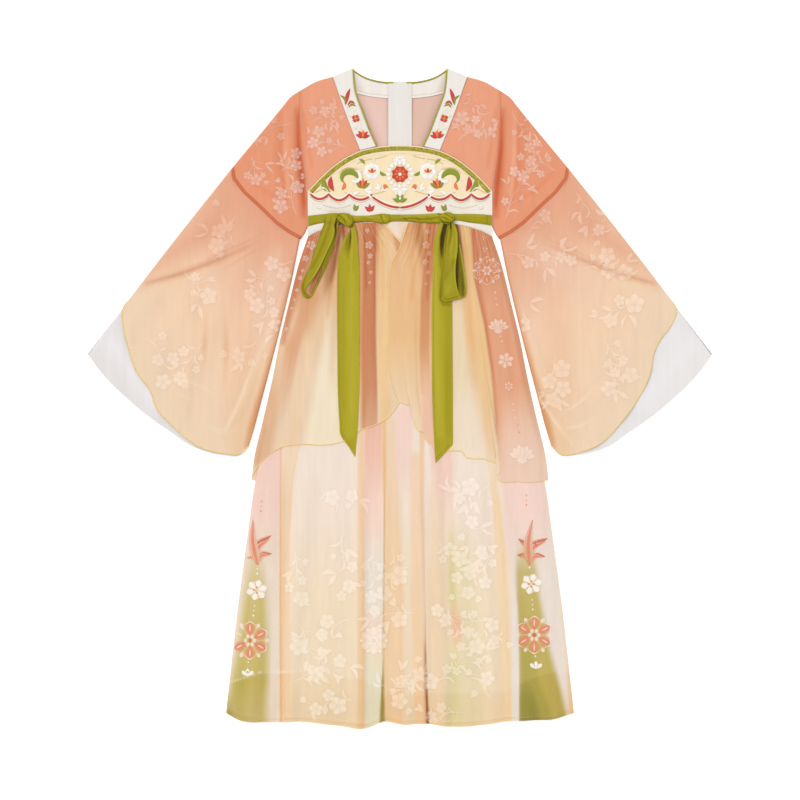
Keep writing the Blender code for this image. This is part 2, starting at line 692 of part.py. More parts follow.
def main():
    for old in list(bpy.data.objects):
        bpy.data.objects.remove(old, do_unlink=True)
    make_bodice_back()
    make_neck()
    make_fronts()
    make_chest()
    make_sleeves()
    make_skirt()
    make_overskirt()
    make_ties()


main()
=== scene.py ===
"""Looks of a child's one-piece hanfu dress, laid flat on its back with the neck towards +Y.

Plans are in millimetres, as in the solids: x to the viewer's right, y up towards the neck, z over the
surface. Each cloth is a dense grid over its cut, with folds laid one by one, and a colour for each point.
The gathered chiffons are single sheets, and the other cloths are thin closed shells or flattened tubes.
"""

import bpy
import numpy as np
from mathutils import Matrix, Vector
from mathutils.bvhtree import BVHTree


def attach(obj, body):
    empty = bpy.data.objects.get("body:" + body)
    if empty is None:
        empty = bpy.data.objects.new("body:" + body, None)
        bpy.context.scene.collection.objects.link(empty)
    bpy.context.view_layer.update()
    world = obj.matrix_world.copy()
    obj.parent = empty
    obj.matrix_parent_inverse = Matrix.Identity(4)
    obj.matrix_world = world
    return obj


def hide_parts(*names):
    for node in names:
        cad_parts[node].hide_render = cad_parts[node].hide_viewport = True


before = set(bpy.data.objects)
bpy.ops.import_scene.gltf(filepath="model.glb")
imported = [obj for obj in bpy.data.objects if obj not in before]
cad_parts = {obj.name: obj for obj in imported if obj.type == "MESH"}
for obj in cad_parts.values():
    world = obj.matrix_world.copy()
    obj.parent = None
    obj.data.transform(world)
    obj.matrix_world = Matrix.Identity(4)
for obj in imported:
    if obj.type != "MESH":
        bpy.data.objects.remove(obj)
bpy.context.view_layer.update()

MM = 0.001
# Sizes in millimetres.
WALL = 1  # thickness of a layer in the solids
GAP = 0.35  # clearance between two layers
SEAM = 0.3  # clearance between two pieces at a seam
CLOTH = 0.5  # thickness of the cloths that are shells here
FIRST_WALL = 0.9  # thickness of the bodice's back, which lies on the surface
BACK_WALL = 0.6  # thickness of the backs of both skirts
HALF_CHEST = 152
WAIST_Y = 289
BACK_NECK_Y = 519
PIPING_R = 1.2
PIPING_ROOM = 3.2  # between the back neckline and its facing
ZIP_GUARD_WIDTH = 39
ZIP_GUARD_Y = (330, 520)
BORDER_WIDTH = 7
BORDER_INSET = 2
OVERSKIRT_BACK_Y = -141
ON_OVERSKIRT = 120  # length over which the skirt comes down past the back overskirt
LINING_Y = -487
LINING_INSET = 16  # how far the lining stays inside the skirt's sides
LINING_FLARE = 10  # how far its hem reaches out again
SIDE_SLOPE = 16  # width over which the skirt's front comes down at a side seam
OVERSKIRT_SLOPE = 11  # the same for the overskirt
FOLD_RADIUS = 5  # rounding where a sleeve is folded flat
HEM_THREAD = 0.75  # radius of the overlocked hems of the sleeves
OVERSKIRT_THREAD = 0.65  # and of those of the overskirt
HEM_WIDTH = 7  # how far the skirt's hem is turned up
FIELD_RISE = 0.3  # rise of the cream field on the chest
ABOVE_ALL = 90  # height from which a surface is probed
STROKE_LIFT = 0.25  # room between a stroke of thread or print and its cloth
LAYER_RISE = 0.07  # rise of a stroke over the one that it crosses
BETWEEN_STITCHES = 0.86  # shade between two threads of a stitch
WAVE_MM = 0.314  # scale of Blender's wave texture at which a wave is 1 unit long
VIEW = 800 * 1.65  # width of the camera's view

# Outlines of the left half: columns x, y.
ARMHOLE = ((-152, 281), (-152, 312), (-154, 345), (-161, 408), (-165, 474), (-165, 505))
SLEEVE_SEAM = ((-279, 375), (-276, 358), (-259, 335), (-239, 317), (-206, 285), (-185, 270), (-165, 259))
SHOULDER_TO_SEAM = ((-165, 505), (-182, 493), (-190, 483), (-279, 375))
UNDERARM = ((-152, 281), (-158, 268), (-165, 259))
SEAM_TO_HEM_TOP = ((-279, 375), (-365, 267), (-450, 157))
SEAM_TO_HEM_LOW = ((-165, 259), (-175, 210), (-198, 111), (-228, -5), (-241, -54), (-249, -80))
SLEEVE_HEM_LEFT = (
    (-450, 157), (-457, 145), (-457, 124), (-447, 79), (-436, 45), (-412, 10), (-400, -21), (-380, -42),
    (-350, -70), (-322, -86), (-289, -93), (-262, -93), (-249, -80),
)
SLEEVE_HEM_RIGHT = (
    (-450, 157), (-455, 146), (-446, 117), (-427, 92), (-417, 68), (-414, 47), (-404, 18), (-389, -8),
    (-367, -38), (-335, -73), (-300, -90), (-262, -93), (-249, -80),
)
CUFF = (
    (-515, 71), (-495, 43), (-455, 2), (-416, -31), (-376, -59), (-345, -80), (-322, -89), (-289, -96),
    (-264, -96), (-252, -83),
)
COLLAR_OUTER = ((-66, 407), (-86, 457), (-99, 493), (-111, 528))
COLLAR_INNER = ((-40, 413), (-50, 436), (-63, 470), (-74, 500), (-79, 541))
SHOULDER_SEAM = ((-165, 505), (-138, 520), (-111, 528))
BACK_NECK = ((-79, 541), (-58, 528), (-33, 521), (0, BACK_NECK_Y))
FACING_LOW = ((-81, 503), (-50, 496), (0, 492))
ARCH = ((-152, 340), (-132, 361), (-116, 376), (-91, 394), (-66, 406), (-40, 412), (0, 415))
WAIST = ((-152, 264), (-135, 273), (-107, 281.5), (-79, 286.5), (-40, WAIST_Y), (0, WAIST_Y))
OVERSKIRT_SIDE = ((-152, 264), (-165, 226), (-182, 160), (-198, 94), (-211, 28), (-226, -38), (-241, -104))
OVERSKIRT_BACK_HEM = ((-245, -136), (-228, OVERSKIRT_BACK_Y), (0, OVERSKIRT_BACK_Y))
SKIRT_SIDE = (
    (-148, 263), (-172, 160), (-201, 28), (-230, -100), (-241, -153), (-248, -203), (-266, -335),
    (-287, -521),
)
SKIRT_HEM = (
    (-287, -521), (-264, -533), (-223, -536), (-165, -535), (-99, -542), (-56, -546), (-28, -535), (8, -540),
    (40, -538), (79, -543), (132, -541), (172, -535), (214, -533), (251, -531), (287, -521),
)
SKIRT_HEM_ROUTE = tuple((x, y, 0) for x, y in SKIRT_HEM)
OVERSKIRT_HEM_LEFT = (
    (-244, -130), (-228, -106), (-211, -91), (-190, -81), (-165, -78), (-116, -78), (-89, -71), (-64, -54),
    (-41, -46), (-20, -34), (-4, -14),
)
OVERSKIRT_HEM_RIGHT = (
    (244, -137), (220, -140), (190, -139), (172, -140), (162, -136), (160, -130), (165, -122), (168, -113),
    (160, -109), (148, -105), (135, -101.5), (116, -101), (108, -98), (104, -91), (84, -88), (66, -88),
    (52, -79), (40, -66), (40, -58), (30, -55), (24, -46), (22, -24), (14, -14), (5, -11), (-3, -6),
)
# The front edges cross each other, so that the halves lap over the middle.
FRONT_EDGE_LEFT = (
    (-4, -14), (8, 6), (15, 46), (19, 110), (20, 190), (14, 232), (2, 253), (-12, 268), (-28, 287),
)
FRONT_EDGE_RIGHT = (
    (-3, -6), (-11, 18), (-17, 46), (-19, 110), (-18, 190), (-12, 226), (-1, 244), (6, 266), (13, 287),
)
LAP = 0.7  # rise of the right half where it lies over the left one
# Directions into a sleeve, from its top fold and from its lower one.
FROM_TOP = (0.62, -0.78)
FROM_UNDERARM = (-0.98, 0.2)

# Folds of the solids: columns share of the width, half width as such a share, rise at waist and hem.
SKIRT_FOLDS = (
    (0.075, 0.045, 0.2, 3.5), (0.18, 0.04, 0.4, 5), (0.275, 0.05, 0.3, 3), (0.375, 0.035, 0.5, 5),
    (0.505, 0.04, 0.3, 3), (0.57, 0.03, 0.5, 5.5), (0.625, 0.03, 0.5, 5), (0.69, 0.04, 0.2, 2.5),
    (0.77, 0.035, 0.5, 5), (0.85, 0.04, 0.3, 4), (0.935, 0.04, 0.2, 4.5),
)
KNIFE_PLEAT = (0.451, 0.06, 0.5, 4.5)
OVERSKIRT_FOLDS_LEFT = (
    (0.14, 0.08, 0.4, 2), (0.32, 0.08, 0.5, 2.6), (0.52, 0.07, 0.4, 1.8), (0.68, 0.06, 0.6, 2.6),
    (0.84, 0.07, 0.4, 2.4),
)
OVERSKIRT_FOLDS_RIGHT = (
    (0.13, 0.07, 0.4, 2.2), (0.29, 0.07, 0.5, 2.6), (0.45, 0.07, 0.4, 2), (0.63, 0.07, 0.6, 2.6),
    (0.82, 0.07, 0.5, 2.2),
)
SLEEVE_FOLDS = ((0.15, 0.09, 0.5, 1.6), (0.36, 0.1, 0.8, 2.6), (0.58, 0.1, 0.6, 3), (0.8, 0.09, 0.9, 2.4))

# The ties in plan: rows are cross sections, columns x and y of one edge, x and y of the other, and how
# far both edges rise over what they lie on.
BAND = (
    (-151.5, 298.5, -151.5, 281.5, 0.3, 0.3), (-128, 301, -127, 287, 0.4, 0.4),
    (-107, 302, -104, 288, 0.8, 0.6), (-79, 299, -79, 287, 0.6, 0.6), (-50, 299, -50, 289, 0.4, 0.4),
    (-28, 302, -24, 285, 0.4, 0.4), (-14, 300.5, -12, 289.5, 0.4, 0.4), (0, 300.5, 0, 290, 0.4, 0.4),
    (34, 301, 34, 287, 0.4, 0.4), (66, 302.5, 66, 286.5, 0.6, 0.6), (90, 301.5, 90, 291, 0.6, 0.6),
    (113, 301.6, 113, 287.5, 0.4, 0.4), (135, 301, 135, 285, 0.4, 0.4),
    (151.5, 299.5, 151.5, 282.5, 0.3, 0.3),
)
BAND_ARCH = ((-152, 0.5), (-125, 0.8), (-104, 1.6), (-76, 2.2), (64, 2.4), (88, 1.4), (110, 0.6), (152, 0.4))
TAIL_LEFT = (
    (-84, 290, -78, 290, 0.6, 1.4), (-81.5, 281, -75, 282, 0.4, 1.4), (-82, 273.5, -72.6, 275, 0.3, 1.2),
    (-90.5, 263, -71, 264, 0.2, 1), (-95.5, 252, -70, 254, 0.1, 0.8), (-98.5, 240, -69, 242, 0.1, 0.7),
    (-101.5, 226, -68, 228, 0.1, 0.6), (-103, 210, -67.2, 212, 0.2, 0.5), (-103.5, 190, -66.8, 190, 0.2, 0.4),
    (-103.5, 140, -66.6, 140, 0.2, 0.4), (-103, 70, -66.6, 70, 0.3, 0.4), (-102, 0, -67.2, 0, 0.3, 0.3),
    (-99.5, -45, -69.5, -45, 0.2, 0.2), (-98, -62, -71, -66, 0.2, 0.2), (-95, -68, -71.5, -74, 0.1, 0.1),
    (-86, -80, -72.5, -86, 0.1, 0.1), (-75, -97, -73.5, -98.5, 0.1, 0.1),
)
TAIL_RIGHT = (
    (67, 288, 80, 288, 0.8, 0.3), (62.5, 278, 82, 279, 0.8, 0.2), (58, 266, 84, 267, 0.7, 0.2),
    (55.5, 250, 86, 250, 0.6, 0.2), (54.2, 215, 86, 215, 0.5, 0.1), (53, 177, 86, 177, 0.4, 0.1),
    (52.4, 150, 86, 150, 0.4, 0.3), (52.4, 70, 86.5, 70, 0.3, 0.4), (53, 0, 87, 0, 0.3, 0.3),
    (55, -50, 87, -45, 0.2, 0.2), (56.6, -80, 87, -74, 0.2, 0.2), (57, -88, 86.4, -79, 0.1, 0.1),
    (57.4, -95, 79, -87, 0.1, 0.1), (58.5, -108.5, 60, -107.5, 0.1, 0.1),
)
LOOP_LEFT = (
    (-120, 302, -103, 303, 1.8, 3.6), (-123.3, 290.4, -105, 291.4, 2, 4.6),
    (-126.4, 281.3, -108, 283, 1.9, 4.5), (-131.2, 269, -107.4, 269.8, 1.7, 4.2),
    (-136.1, 254, -111.2, 255.8, 1.6, 4), (-140.6, 241, -117.5, 243, 1.4, 3.8),
    (-144.7, 227, -123.9, 229.4, 1.3, 3.6), (-149, 214, -130.4, 215.3, 1.2, 3.4),
    (-155.9, 200, -139.1, 200, 1.2, 3.2), (-160.4, 189, -148, 188.6, 1.2, 2.8),
    (-162.5, 179, -154.3, 179, 1.2, 2.4), (-161.2, 170, -154.6, 172.4, 1.2, 2.1),
    (-156.8, 164, -151.8, 168, 1.1, 1.8), (-151, 162.4, -148.5, 166.7, 1, 1.7),
    (-145.2, 166.2, -146.5, 170, 0.9, 1.6), (-139.1, 177.2, -141.6, 180.5, 0.9, 1.5),
    (-131.5, 192.4, -134.6, 194.5, 0.9, 1.4), (-123.9, 208.9, -129.7, 208, 0.8, 1.2),
    (-117.5, 224, -127, 220, 0.8, 0.9), (-112.5, 238, -123.8, 233, 0.8, 0.7),
    (-107.4, 253.3, -118.8, 248, 0.8, 0.7), (-103.8, 271, -113.9, 268, 0.9, 0.7),
    (-101, 288, -112, 287, 1.2, 0.9),
)
LOOP_RIGHT_BACK = (
    (90, 159.5, 107.9, 165, 0.7, 1.2), (90, 171, 109.3, 175, 0.6, 1.8), (89.5, 180, 109.2, 184, 0.6, 2),
    (89, 200, 106.6, 206.3, 0.5, 2), (89, 225, 102.8, 230.5, 0.5, 1.9), (89, 244, 99.7, 249.5, 0.6, 1.8),
    (88, 260, 96.5, 263.5, 0.8, 1.8), (86, 274, 92.4, 276, 1.2, 2), (84, 287, 89.1, 286, 1.6, 2.2),
)
LOOP_RIGHT_FRONT = (
    (80, 291, 88, 293, 2.6, 3.8), (81, 284, 89, 286.3, 2.6, 4.4), (76.7, 272.3, 94, 274, 2.4, 4.2),
    (73.6, 257.4, 95.2, 254, 2.2, 4), (71.8, 241, 94.5, 238, 2, 3.8), (72.3, 220.3, 92.1, 220.3, 1.9, 3.6),
    (69.8, 202.6, 91.6, 206, 1.9, 3.5), (68, 183.5, 92.4, 190, 1.8, 3.3), (67.3, 168, 94.9, 177, 1.7, 2.9),
    (69, 159.4, 99, 167, 1.6, 2.6), (75.5, 156.3, 103, 163, 1.5, 2.3),
)
KNOT_LEFT = (
    (-107, 298, -101, 302.5, 0.6, 0.8), (-103, 291.5, -92, 303, 1.2, 1.6), (-97, 286.5, -82.5, 301, 1.6, 1.8),
    (-89.5, 282, -79, 294, 1.6, 1.6), (-83, 278.5, -76, 284, 0.8, 0.8),
)
KNOT_RIGHT = (
    (66, 298.5, 67, 290.5, 0.4, 0.6), (71, 302.5, 71, 286, 0.8, 1.6), (78.5, 304.5, 78, 284, 1, 2),
    (85.5, 302.5, 84, 286.5, 0.8, 1.6), (90, 298.5, 88.5, 291, 0.4, 0.6),
)
# The satin's own colour, its painted shade, its painted highlight, and the deep painted shade of its hollows.
SATIN, SATIN_SHADE, SATIN_HIGHLIGHT, HOLLOW_SHADE = "#9d9217", "#7a6f06", "#b3a73c", "#352600"
# Creases of the sash, in the columns of the creases further below: the darker colour in their troughs is
# painted shade, and the lighter colour on their ridges painted highlight.
BAND_CREASES = (
    (-1.1, 0.3, 0, ((-2, 292.4, 1.5), (20, 294.2, 1.8), (33, 292.2, 2), (52, 293.2, 1.8), (68, 297, 1.4))),
    (-0.8, 0.25, 0, ((3, 298.5, 1.3), (9, 293, 1.6), (14, 288, 1.3))),
    (-0.7, 0.22, 0, ((22, 299, 1.3), (28, 295, 1.6), (33, 289, 1.3))),
    (-0.7, 0.22, 0, ((42, 299, 1.3), (48, 295, 1.6), (54, 288, 1.3))),
    (1, -0.15, 0, ((-29, 301, 4), (-25, 292, 5), (-21, 284, 4))),
    (-0.9, 0.3, 0, ((-33, 302, 1.6), (-30, 294, 1.8), (-25, 284, 1.6))),
    (-0.9, 0.3, 0, ((-19, 301, 1.5), (-16, 294, 1.8), (-17, 286, 1.6))),
    (-0.5, 0.17, 0, ((-72, 299, 1.3), (-60, 294.5, 1.6), (-44, 291, 1.3))),
    (-0.4, 0.17, 0, ((-58, 299, 1.2), (-46, 296, 1.4), (-34, 295, 1.2))),
    (-0.6, 0.28, 0, ((-150, 283, 2.2), (-128, 286, 2.4), (-108, 288, 2.2))),
    (-0.5, 0.25, 0, ((143.5, 303, 1.6), (143.5, 284, 1.6))),
    (-0.4, 0.17, 0, ((92, 289.5, 2), (120, 287.5, 2.4), (150, 284.5, 2))),
    (0.4, -0.1, 0, ((96, 299, 3), (120, 298, 4), (142, 297, 3))),
)
LOOP_CREASES_LEFT = (
    (-0.7, 0.2, 0, ((-112, 300, 3), (-117, 278, 4), (-124, 256, 5), (-134, 232, 5), (-148, 204, 4))),
    (0.9, -0.26, 0, ((-105, 302, 1.6), (-107, 288, 1.8), (-109, 270, 2), (-113, 256, 2), (-119, 243, 2),
        (-125.5, 229, 2), (-132, 215, 2), (-140.5, 200, 2), (-149, 188.6, 1.8), (-155, 179, 1.5))),
    (-0.6, 0.35, 0, ((-122, 296, 2), (-126, 280, 2.4), (-133, 262, 2.2))),
    (-0.5, 0.3, 0, ((-158, 190, 2), (-160, 176, 2), (-155, 166, 2))),
)
LOOP_CREASES_RIGHT = (
    (-0.8, 0.35, 0, ((84, 284, 2), (84, 268, 3.4), (81, 250, 4), (80, 228, 4))),
    (1, -0.22, 0, ((88.5, 286, 1.6), (92.5, 272, 2), (93.5, 254, 2), (92.6, 238, 2.2), (90.2, 220, 2.2),
        (89.8, 205, 2.2), (91, 190, 2), (93.6, 177, 2), (98, 168, 1.8))),
    (-0.7, 0.35, 0, ((80, 282, 1.8), (77, 268, 2.4), (75, 252, 2.4), (74, 232, 2.2))),
    (0.9, -0.16, 0, ((88, 266, 3), (84, 246, 5), (80, 232, 4))),
    (-0.9, 0.26, 0, ((90, 228, 4), (84, 208, 6), (74, 190, 5))),
    (0.7, -0.12, 0, ((84, 186, 6), (80, 174, 7), (76, 166, 5))),
    (-0.5, 0.25, 0, ((70, 162, 2.4), (80, 160, 2.4), (98, 166, 2))),
)
KNOT_CREASES_LEFT = (
    (-1, 0.35, 0, ((-104, 301, 1.6), (-98, 297, 1.8), (-92, 291, 1.8), (-88, 284, 1.6))),
    (0.8, -0.14, 0, ((-96, 301, 2.6), (-88, 295, 3), (-82, 286, 2.6))),
    (-0.7, 0.22, 0, ((-88, 300.5, 1.4), (-83.5, 295, 1.5), (-79.5, 288, 1.4))),
)
KNOT_CREASES_RIGHT = (
    (-1, 0.32, 0, ((67, 296, 1.4), (74, 294.5, 1.7), (80, 291, 1.7), (84, 286.5, 1.4))),
    (-0.8, 0.25, 0, ((71, 302, 1.3), (78, 299, 1.6), (84, 295, 1.5), (89, 293, 1.2))),
    (0.8, -0.14, 0, ((68, 299.5, 2), (76, 297.5, 2.4), (82, 294, 2.2), (87, 289, 1.8))),
    (-0.6, 0.35, 0, ((69, 288, 1.3), (75, 289, 1.5), (80, 286, 1.4))),
)

# Creases: rise in mm (below 0 a trough), how much they deepen the colour (the denser colour of crowded cloth
# and painted shade in a trough, and below 0 a painted highlight on a ridge), lean (above 0 the right side of
# the route is the steep one), and the route: columns x, y, half width.
TAIL_CREASES = {
    "left": (
        (-1.4, 0.1, 0, ((-81.6, 275, 1.6), (-81.8, 258, 2.4), (-84, 240, 3), (-86, 222, 3))),
        (0.8, -0.1, 0, ((-78, 284, 2), (-77.5, 262, 2.6), (-78.5, 236, 3), (-80, 200, 3.5))),
        (0.5, -0.06, 0, ((-90, 262, 2), (-95, 246, 2.4), (-98, 226, 2.6))),
        (0.4, -0.05, 0, ((-80, 200, 6), (-78, 90, 8), (-80, -40, 6))),
        (-0.35, 0.06, 0, ((-92, 190, 4), (-93, 60, 5), (-92, -40, 5))),
    ),
    "right": (
        (-1.2, 0.1, 0, ((73, 286, 3), (70, 268, 4), (68, 250, 4), (69.5, 226, 3))),
        (0.7, -0.08, 0, ((66, 280, 2.4), (61.5, 262, 3), (60, 230, 4), (59.5, 170, 5))),
        (-0.4, 0.12, 0, ((64, 238, 1.4), (66.5, 222, 1.8), (69, 206, 1.4))),
        (0.4, -0.05, 0, ((62, 160, 6), (64, 70, 8), (66, -50, 6))),
        (-0.35, 0.06, 0, ((77, 140, 4), (78, 40, 5), (77, -50, 5))),
    ),
}
# On the tails: a lighter middle is painted sheen, the dark folds, the loop's shadow and the hollows under the
# knots are painted shade, and the edges are darker.
TAIL_SHEEN_AND_SHADE = {
    "left": (
        ("#988f17", 5, ((-97, 250, 3, 0.3), (-101, 215, 3, 0.4), (-101, 60, 3, 0.3), (-98, -60, 3, 0.3))),
        ("#b8ac33", 8, ((-79, 200, 6, 0.5), (-77, 60, 8, 0.7), (-80, -60, 7, 0.6))),
        ("#786c0b", 3.4, ((-84, 268, 1.2, 0.8), (-86.5, 257, 3.2, 0.85), (-88, 244, 3.8, 0.6),
            (-88, 230, 3, 0))),
        ("#3a2f05", 0.9, ((-81.6, 275, 0.7, 0.9), (-81.6, 262, 1.2, 0.9), (-82.6, 248, 1.2, 0.6),
            (-84, 236, 1, 0))),
        (HOLLOW_SHADE, 2.5, ((-86, 292, 5, 0.9), (-80, 285, 4, 0.7), (-79, 279, 3, 0.1))),
    ),
    "right": (
        ("#968d15", 5, ((59, 262, 2, 0.2), (82, 150, 5, 0.5), (82, 20, 6, 0.4), (83, -60, 5, 0.3))),
        ("#b8ac33", 7, ((58, 230, 4, 0.5), (60, 120, 7, 0.7), (64, -60, 7, 0.6))),
        (SATIN_SHADE, 3, ((67, 244, 2.5, 0.8), (68, 224, 3, 0.6), (70, 205, 2.5, 0.3), (68, 182, 2.5, 0.7),
            (67, 164, 3, 0.8), (71, 153, 3, 0.7), (82, 152, 3, 0.5))),
        (HOLLOW_SHADE, 1.6, ((76, 288, 3.5, 0.95), (73, 277, 3.8, 0.95), (70, 263, 4.2, 0.95), (69, 250, 3.8, 0.95),
            (69.5, 238, 3, 0.7), (70, 224, 2, 0.05))),
    ),
}
SKIRT_CREASES = (
    (1.4, 0.12, -0.7, ((-191, -40, 8), (-193, -300, 8), (-192, -560, 9))),
    (-0.9, 0.04, 0, ((-158, -40, 10), (-175, -150, 9), (-185, -290, 7))),
    (0.9, 0, 0, ((-148, -90, 14), (-150, -300, 16), (-148, -560, 18))),
    (-0.8, 0.03, 0, ((-118, -180, 14), (-116, -380, 18), (-112, -560, 22))),
    (1.2, 0.1, 0.7, ((-64, -40, 9), (-63, -300, 9), (-62, -560, 10))),
    (1, 0.16, 0.9, ((-28, -40, 9), (-28, -300, 10), (-29, -560, 12))),
    (-0.9, 0.05, 0, ((6, -80, 9), (4, -300, 12), (2, -560, 15))),
    (0.9, 0.02, 0.7, ((29, -110, 9), (31, -350, 10), (34, -560, 12))),
    (-0.6, 0.02, 0, ((37, -110, 3), (40, -350, 3.5), (43, -480, 4))),
    (-3.2, 0.45, 0, ((41, -390, 1.5), (43, -473, 4.5), (47, -560, 8), (49, -640, 9))),
    (0.8, 0, -0.4, ((46, -120, 10), (50, -350, 12), (60, -560, 14))),
    (-0.7, 0.08, 0, ((84, -40, 6), (85, -250, 8), (90, -560, 11))),
    (0.8, 0, 0, ((120, -120, 14), (126, -320, 16), (132, -560, 18))),
    (1.7, 0.12, 0.7, ((148, -60, 8), (166, -210, 9), (176, -350, 10), (180, -560, 12))),
    (-0.8, 0, 0, ((196, -180, 9), (200, -350, 12), (205, -560, 14))),
    (1, 0, 0, ((246, -230, 16), (258, -400, 18), (268, -560, 20))),
    (1, 0, 0, ((-252, -290, 14), (-266, -450, 17), (-272, -560, 19))),
    (-0.7, 0.05, 0, ((-222, -200, 12), (-228, -400, 14), (-232, -560, 16))),
)
OVERSKIRT_CREASES_LEFT = (
    (-1, 0.22, 0, ((-128, 277, 4), (-133, 230, 5), (-150, 160, 6))),
    (-1.2, 0.25, 0.3, ((-100, 282, 3), (-104, 240, 4), (-112, 190, 6), (-120, 120, 8))),
    (-1.1, 0.18, 0, ((-72, 286, 3), (-70, 235, 4), (-70, 150, 5))),
    (-1, 0.2, 0, ((-60, 287, 2.5), (-57, 240, 3), (-55, 170, 4))),
    (1.6, 0, 0.8, ((-46, 300, 6), (-49, 200, 9), (-48, 60, 10), (-46, -70, 10))),
    (-0.9, 0.1, 0, ((-38, 300, 2.5), (-41, 200, 3), (-40, 90, 3), (-38, 10, 3), (-37, -60, 3))),
    (-0.8, 0.12, 0, ((-31, 287, 2), (-28, 240, 3), (-27, 150, 4))),
    (1.2, 0, 0, ((-115, 150, 10), (-124, 40, 15), (-132, -100, 20))),
    (-0.9, 0.06, 0, ((-146, 200, 7), (-154, 100, 8), (-166, 0, 10), (-178, -110, 12))),
    (1, 0, -0.5, ((-176, 110, 8), (-190, 20, 10), (-205, -120, 12))),
)
OVERSKIRT_CREASES_RIGHT = (
    (-1, 0.22, 0, ((40, 288, 3), (36, 250, 4), (24, 205, 6), (20, 150, 8))),
    (-0.9, 0.18, 0, ((50, 287, 2.5), (47, 230, 4), (45, 150, 5))),
    (-0.8, 0.15, 0, ((36, 287, 2.5), (27, 255, 3), (20, 225, 4))),
    (1.2, 0, 0.5, ((44, 240, 8), (42, 100, 9), (44, -60, 10))),
    (-0.9, 0.1, 0, ((30, 180, 4), (28, 80, 5), (32, -40, 6))),
    (-1, 0.14, 0, ((104, 283, 3), (112, 200, 5), (120, 100, 7), (128, 0, 8))),
    (1.4, 0, 0.8, ((117, 283, 7), (122, 190, 10), (136, 110, 11), (148, 0, 12), (158, -130, 13))),
    (-1.2, 0.2, -0.3, ((128, 276, 3), (130, 200, 4), (144, 120, 5), (156, 20, 6), (162, -90, 6))),
    (0.9, 0, 0, ((178, 170, 12), (196, 40, 16), (214, -120, 18))),
    (-0.7, 0.06, 0, ((164, 190, 9), (182, 60, 11), (194, -80, 12))),
)
SLEEVE_CREASES = (
    (0.7, 0.06, 0.6, ((-419, 191, 9), (-372, 204, 11), (-330, 220, 10), (-282, 249, 7))),
    (-0.6, 0.06, 0, ((-419, 183, 6), (-360, 200, 8), (-300, 222, 8), (-240, 252, 5))),
    (0.8, 0.08, 0.5, ((-336, 216, 7), (-290, 232, 9), (-241, 251, 6))),
    (1.3, -0.05, 0, ((-178, 210, 6), (-216, 100, 8), (-262, -20, 9), (-300, -70, 7))),
    (-0.9, 0.1, 0, ((-172, 200, 4), (-196, 100, 6), (-226, 0, 7), (-246, -70, 7))),
    (0.7, 0, 0, ((-380, 60, 6), (-350, 20, 8), (-318, -10, 6))),
    (-0.6, 0, 0, ((-356, 50, 5), (-322, 20, 7), (-292, -6, 5))),
    (0.8, 0, 0, ((-250, 180, 8), (-248, 110, 10), (-262, 30, 8))),
)
LEFT_SLEEVE_CREASES = (
    (-1, 0.05, 0, ((-330, 170, 9), (-336, 60, 12), (-345, -50, 12))),
    (1, 0, 0, ((-312, 190, 10), (-312, 80, 14), (-318, -60, 14))),
    (-0.8, 0.05, 0, ((-292, 190, 8), (-288, 90, 11), (-290, -80, 12))),
)
UPPER_SLEEVE_CREASES = (
    (-1.2, 0.28, 0, ((-168, 480, 4), (-167, 410, 5), (-160, 350, 6), (-156, 300, 5))),
    (1, 0, 0, ((-178, 480, 7), (-178, 410, 8), (-170, 340, 9), (-166, 290, 7))),
    (-0.8, 0.12, 0, ((-196, 455, 5), (-196, 380, 6), (-184, 310, 6))),
    (0.7, 0, 0, ((-230, 410, 10), (-222, 350, 12), (-205, 300, 8))),
    (-0.6, 0.08, 0, ((-255, 370, 6), (-225, 340, 8), (-190, 320, 6))),
)
FRONT_CREASES = (
    (-0.7, 0.14, 0, ((-160, 480, 5), (-152, 420, 7), (-144, 370, 6))),
    (0.5, 0, 0, ((-140, 500, 10), (-134, 440, 12), (-124, 395, 8))),
)
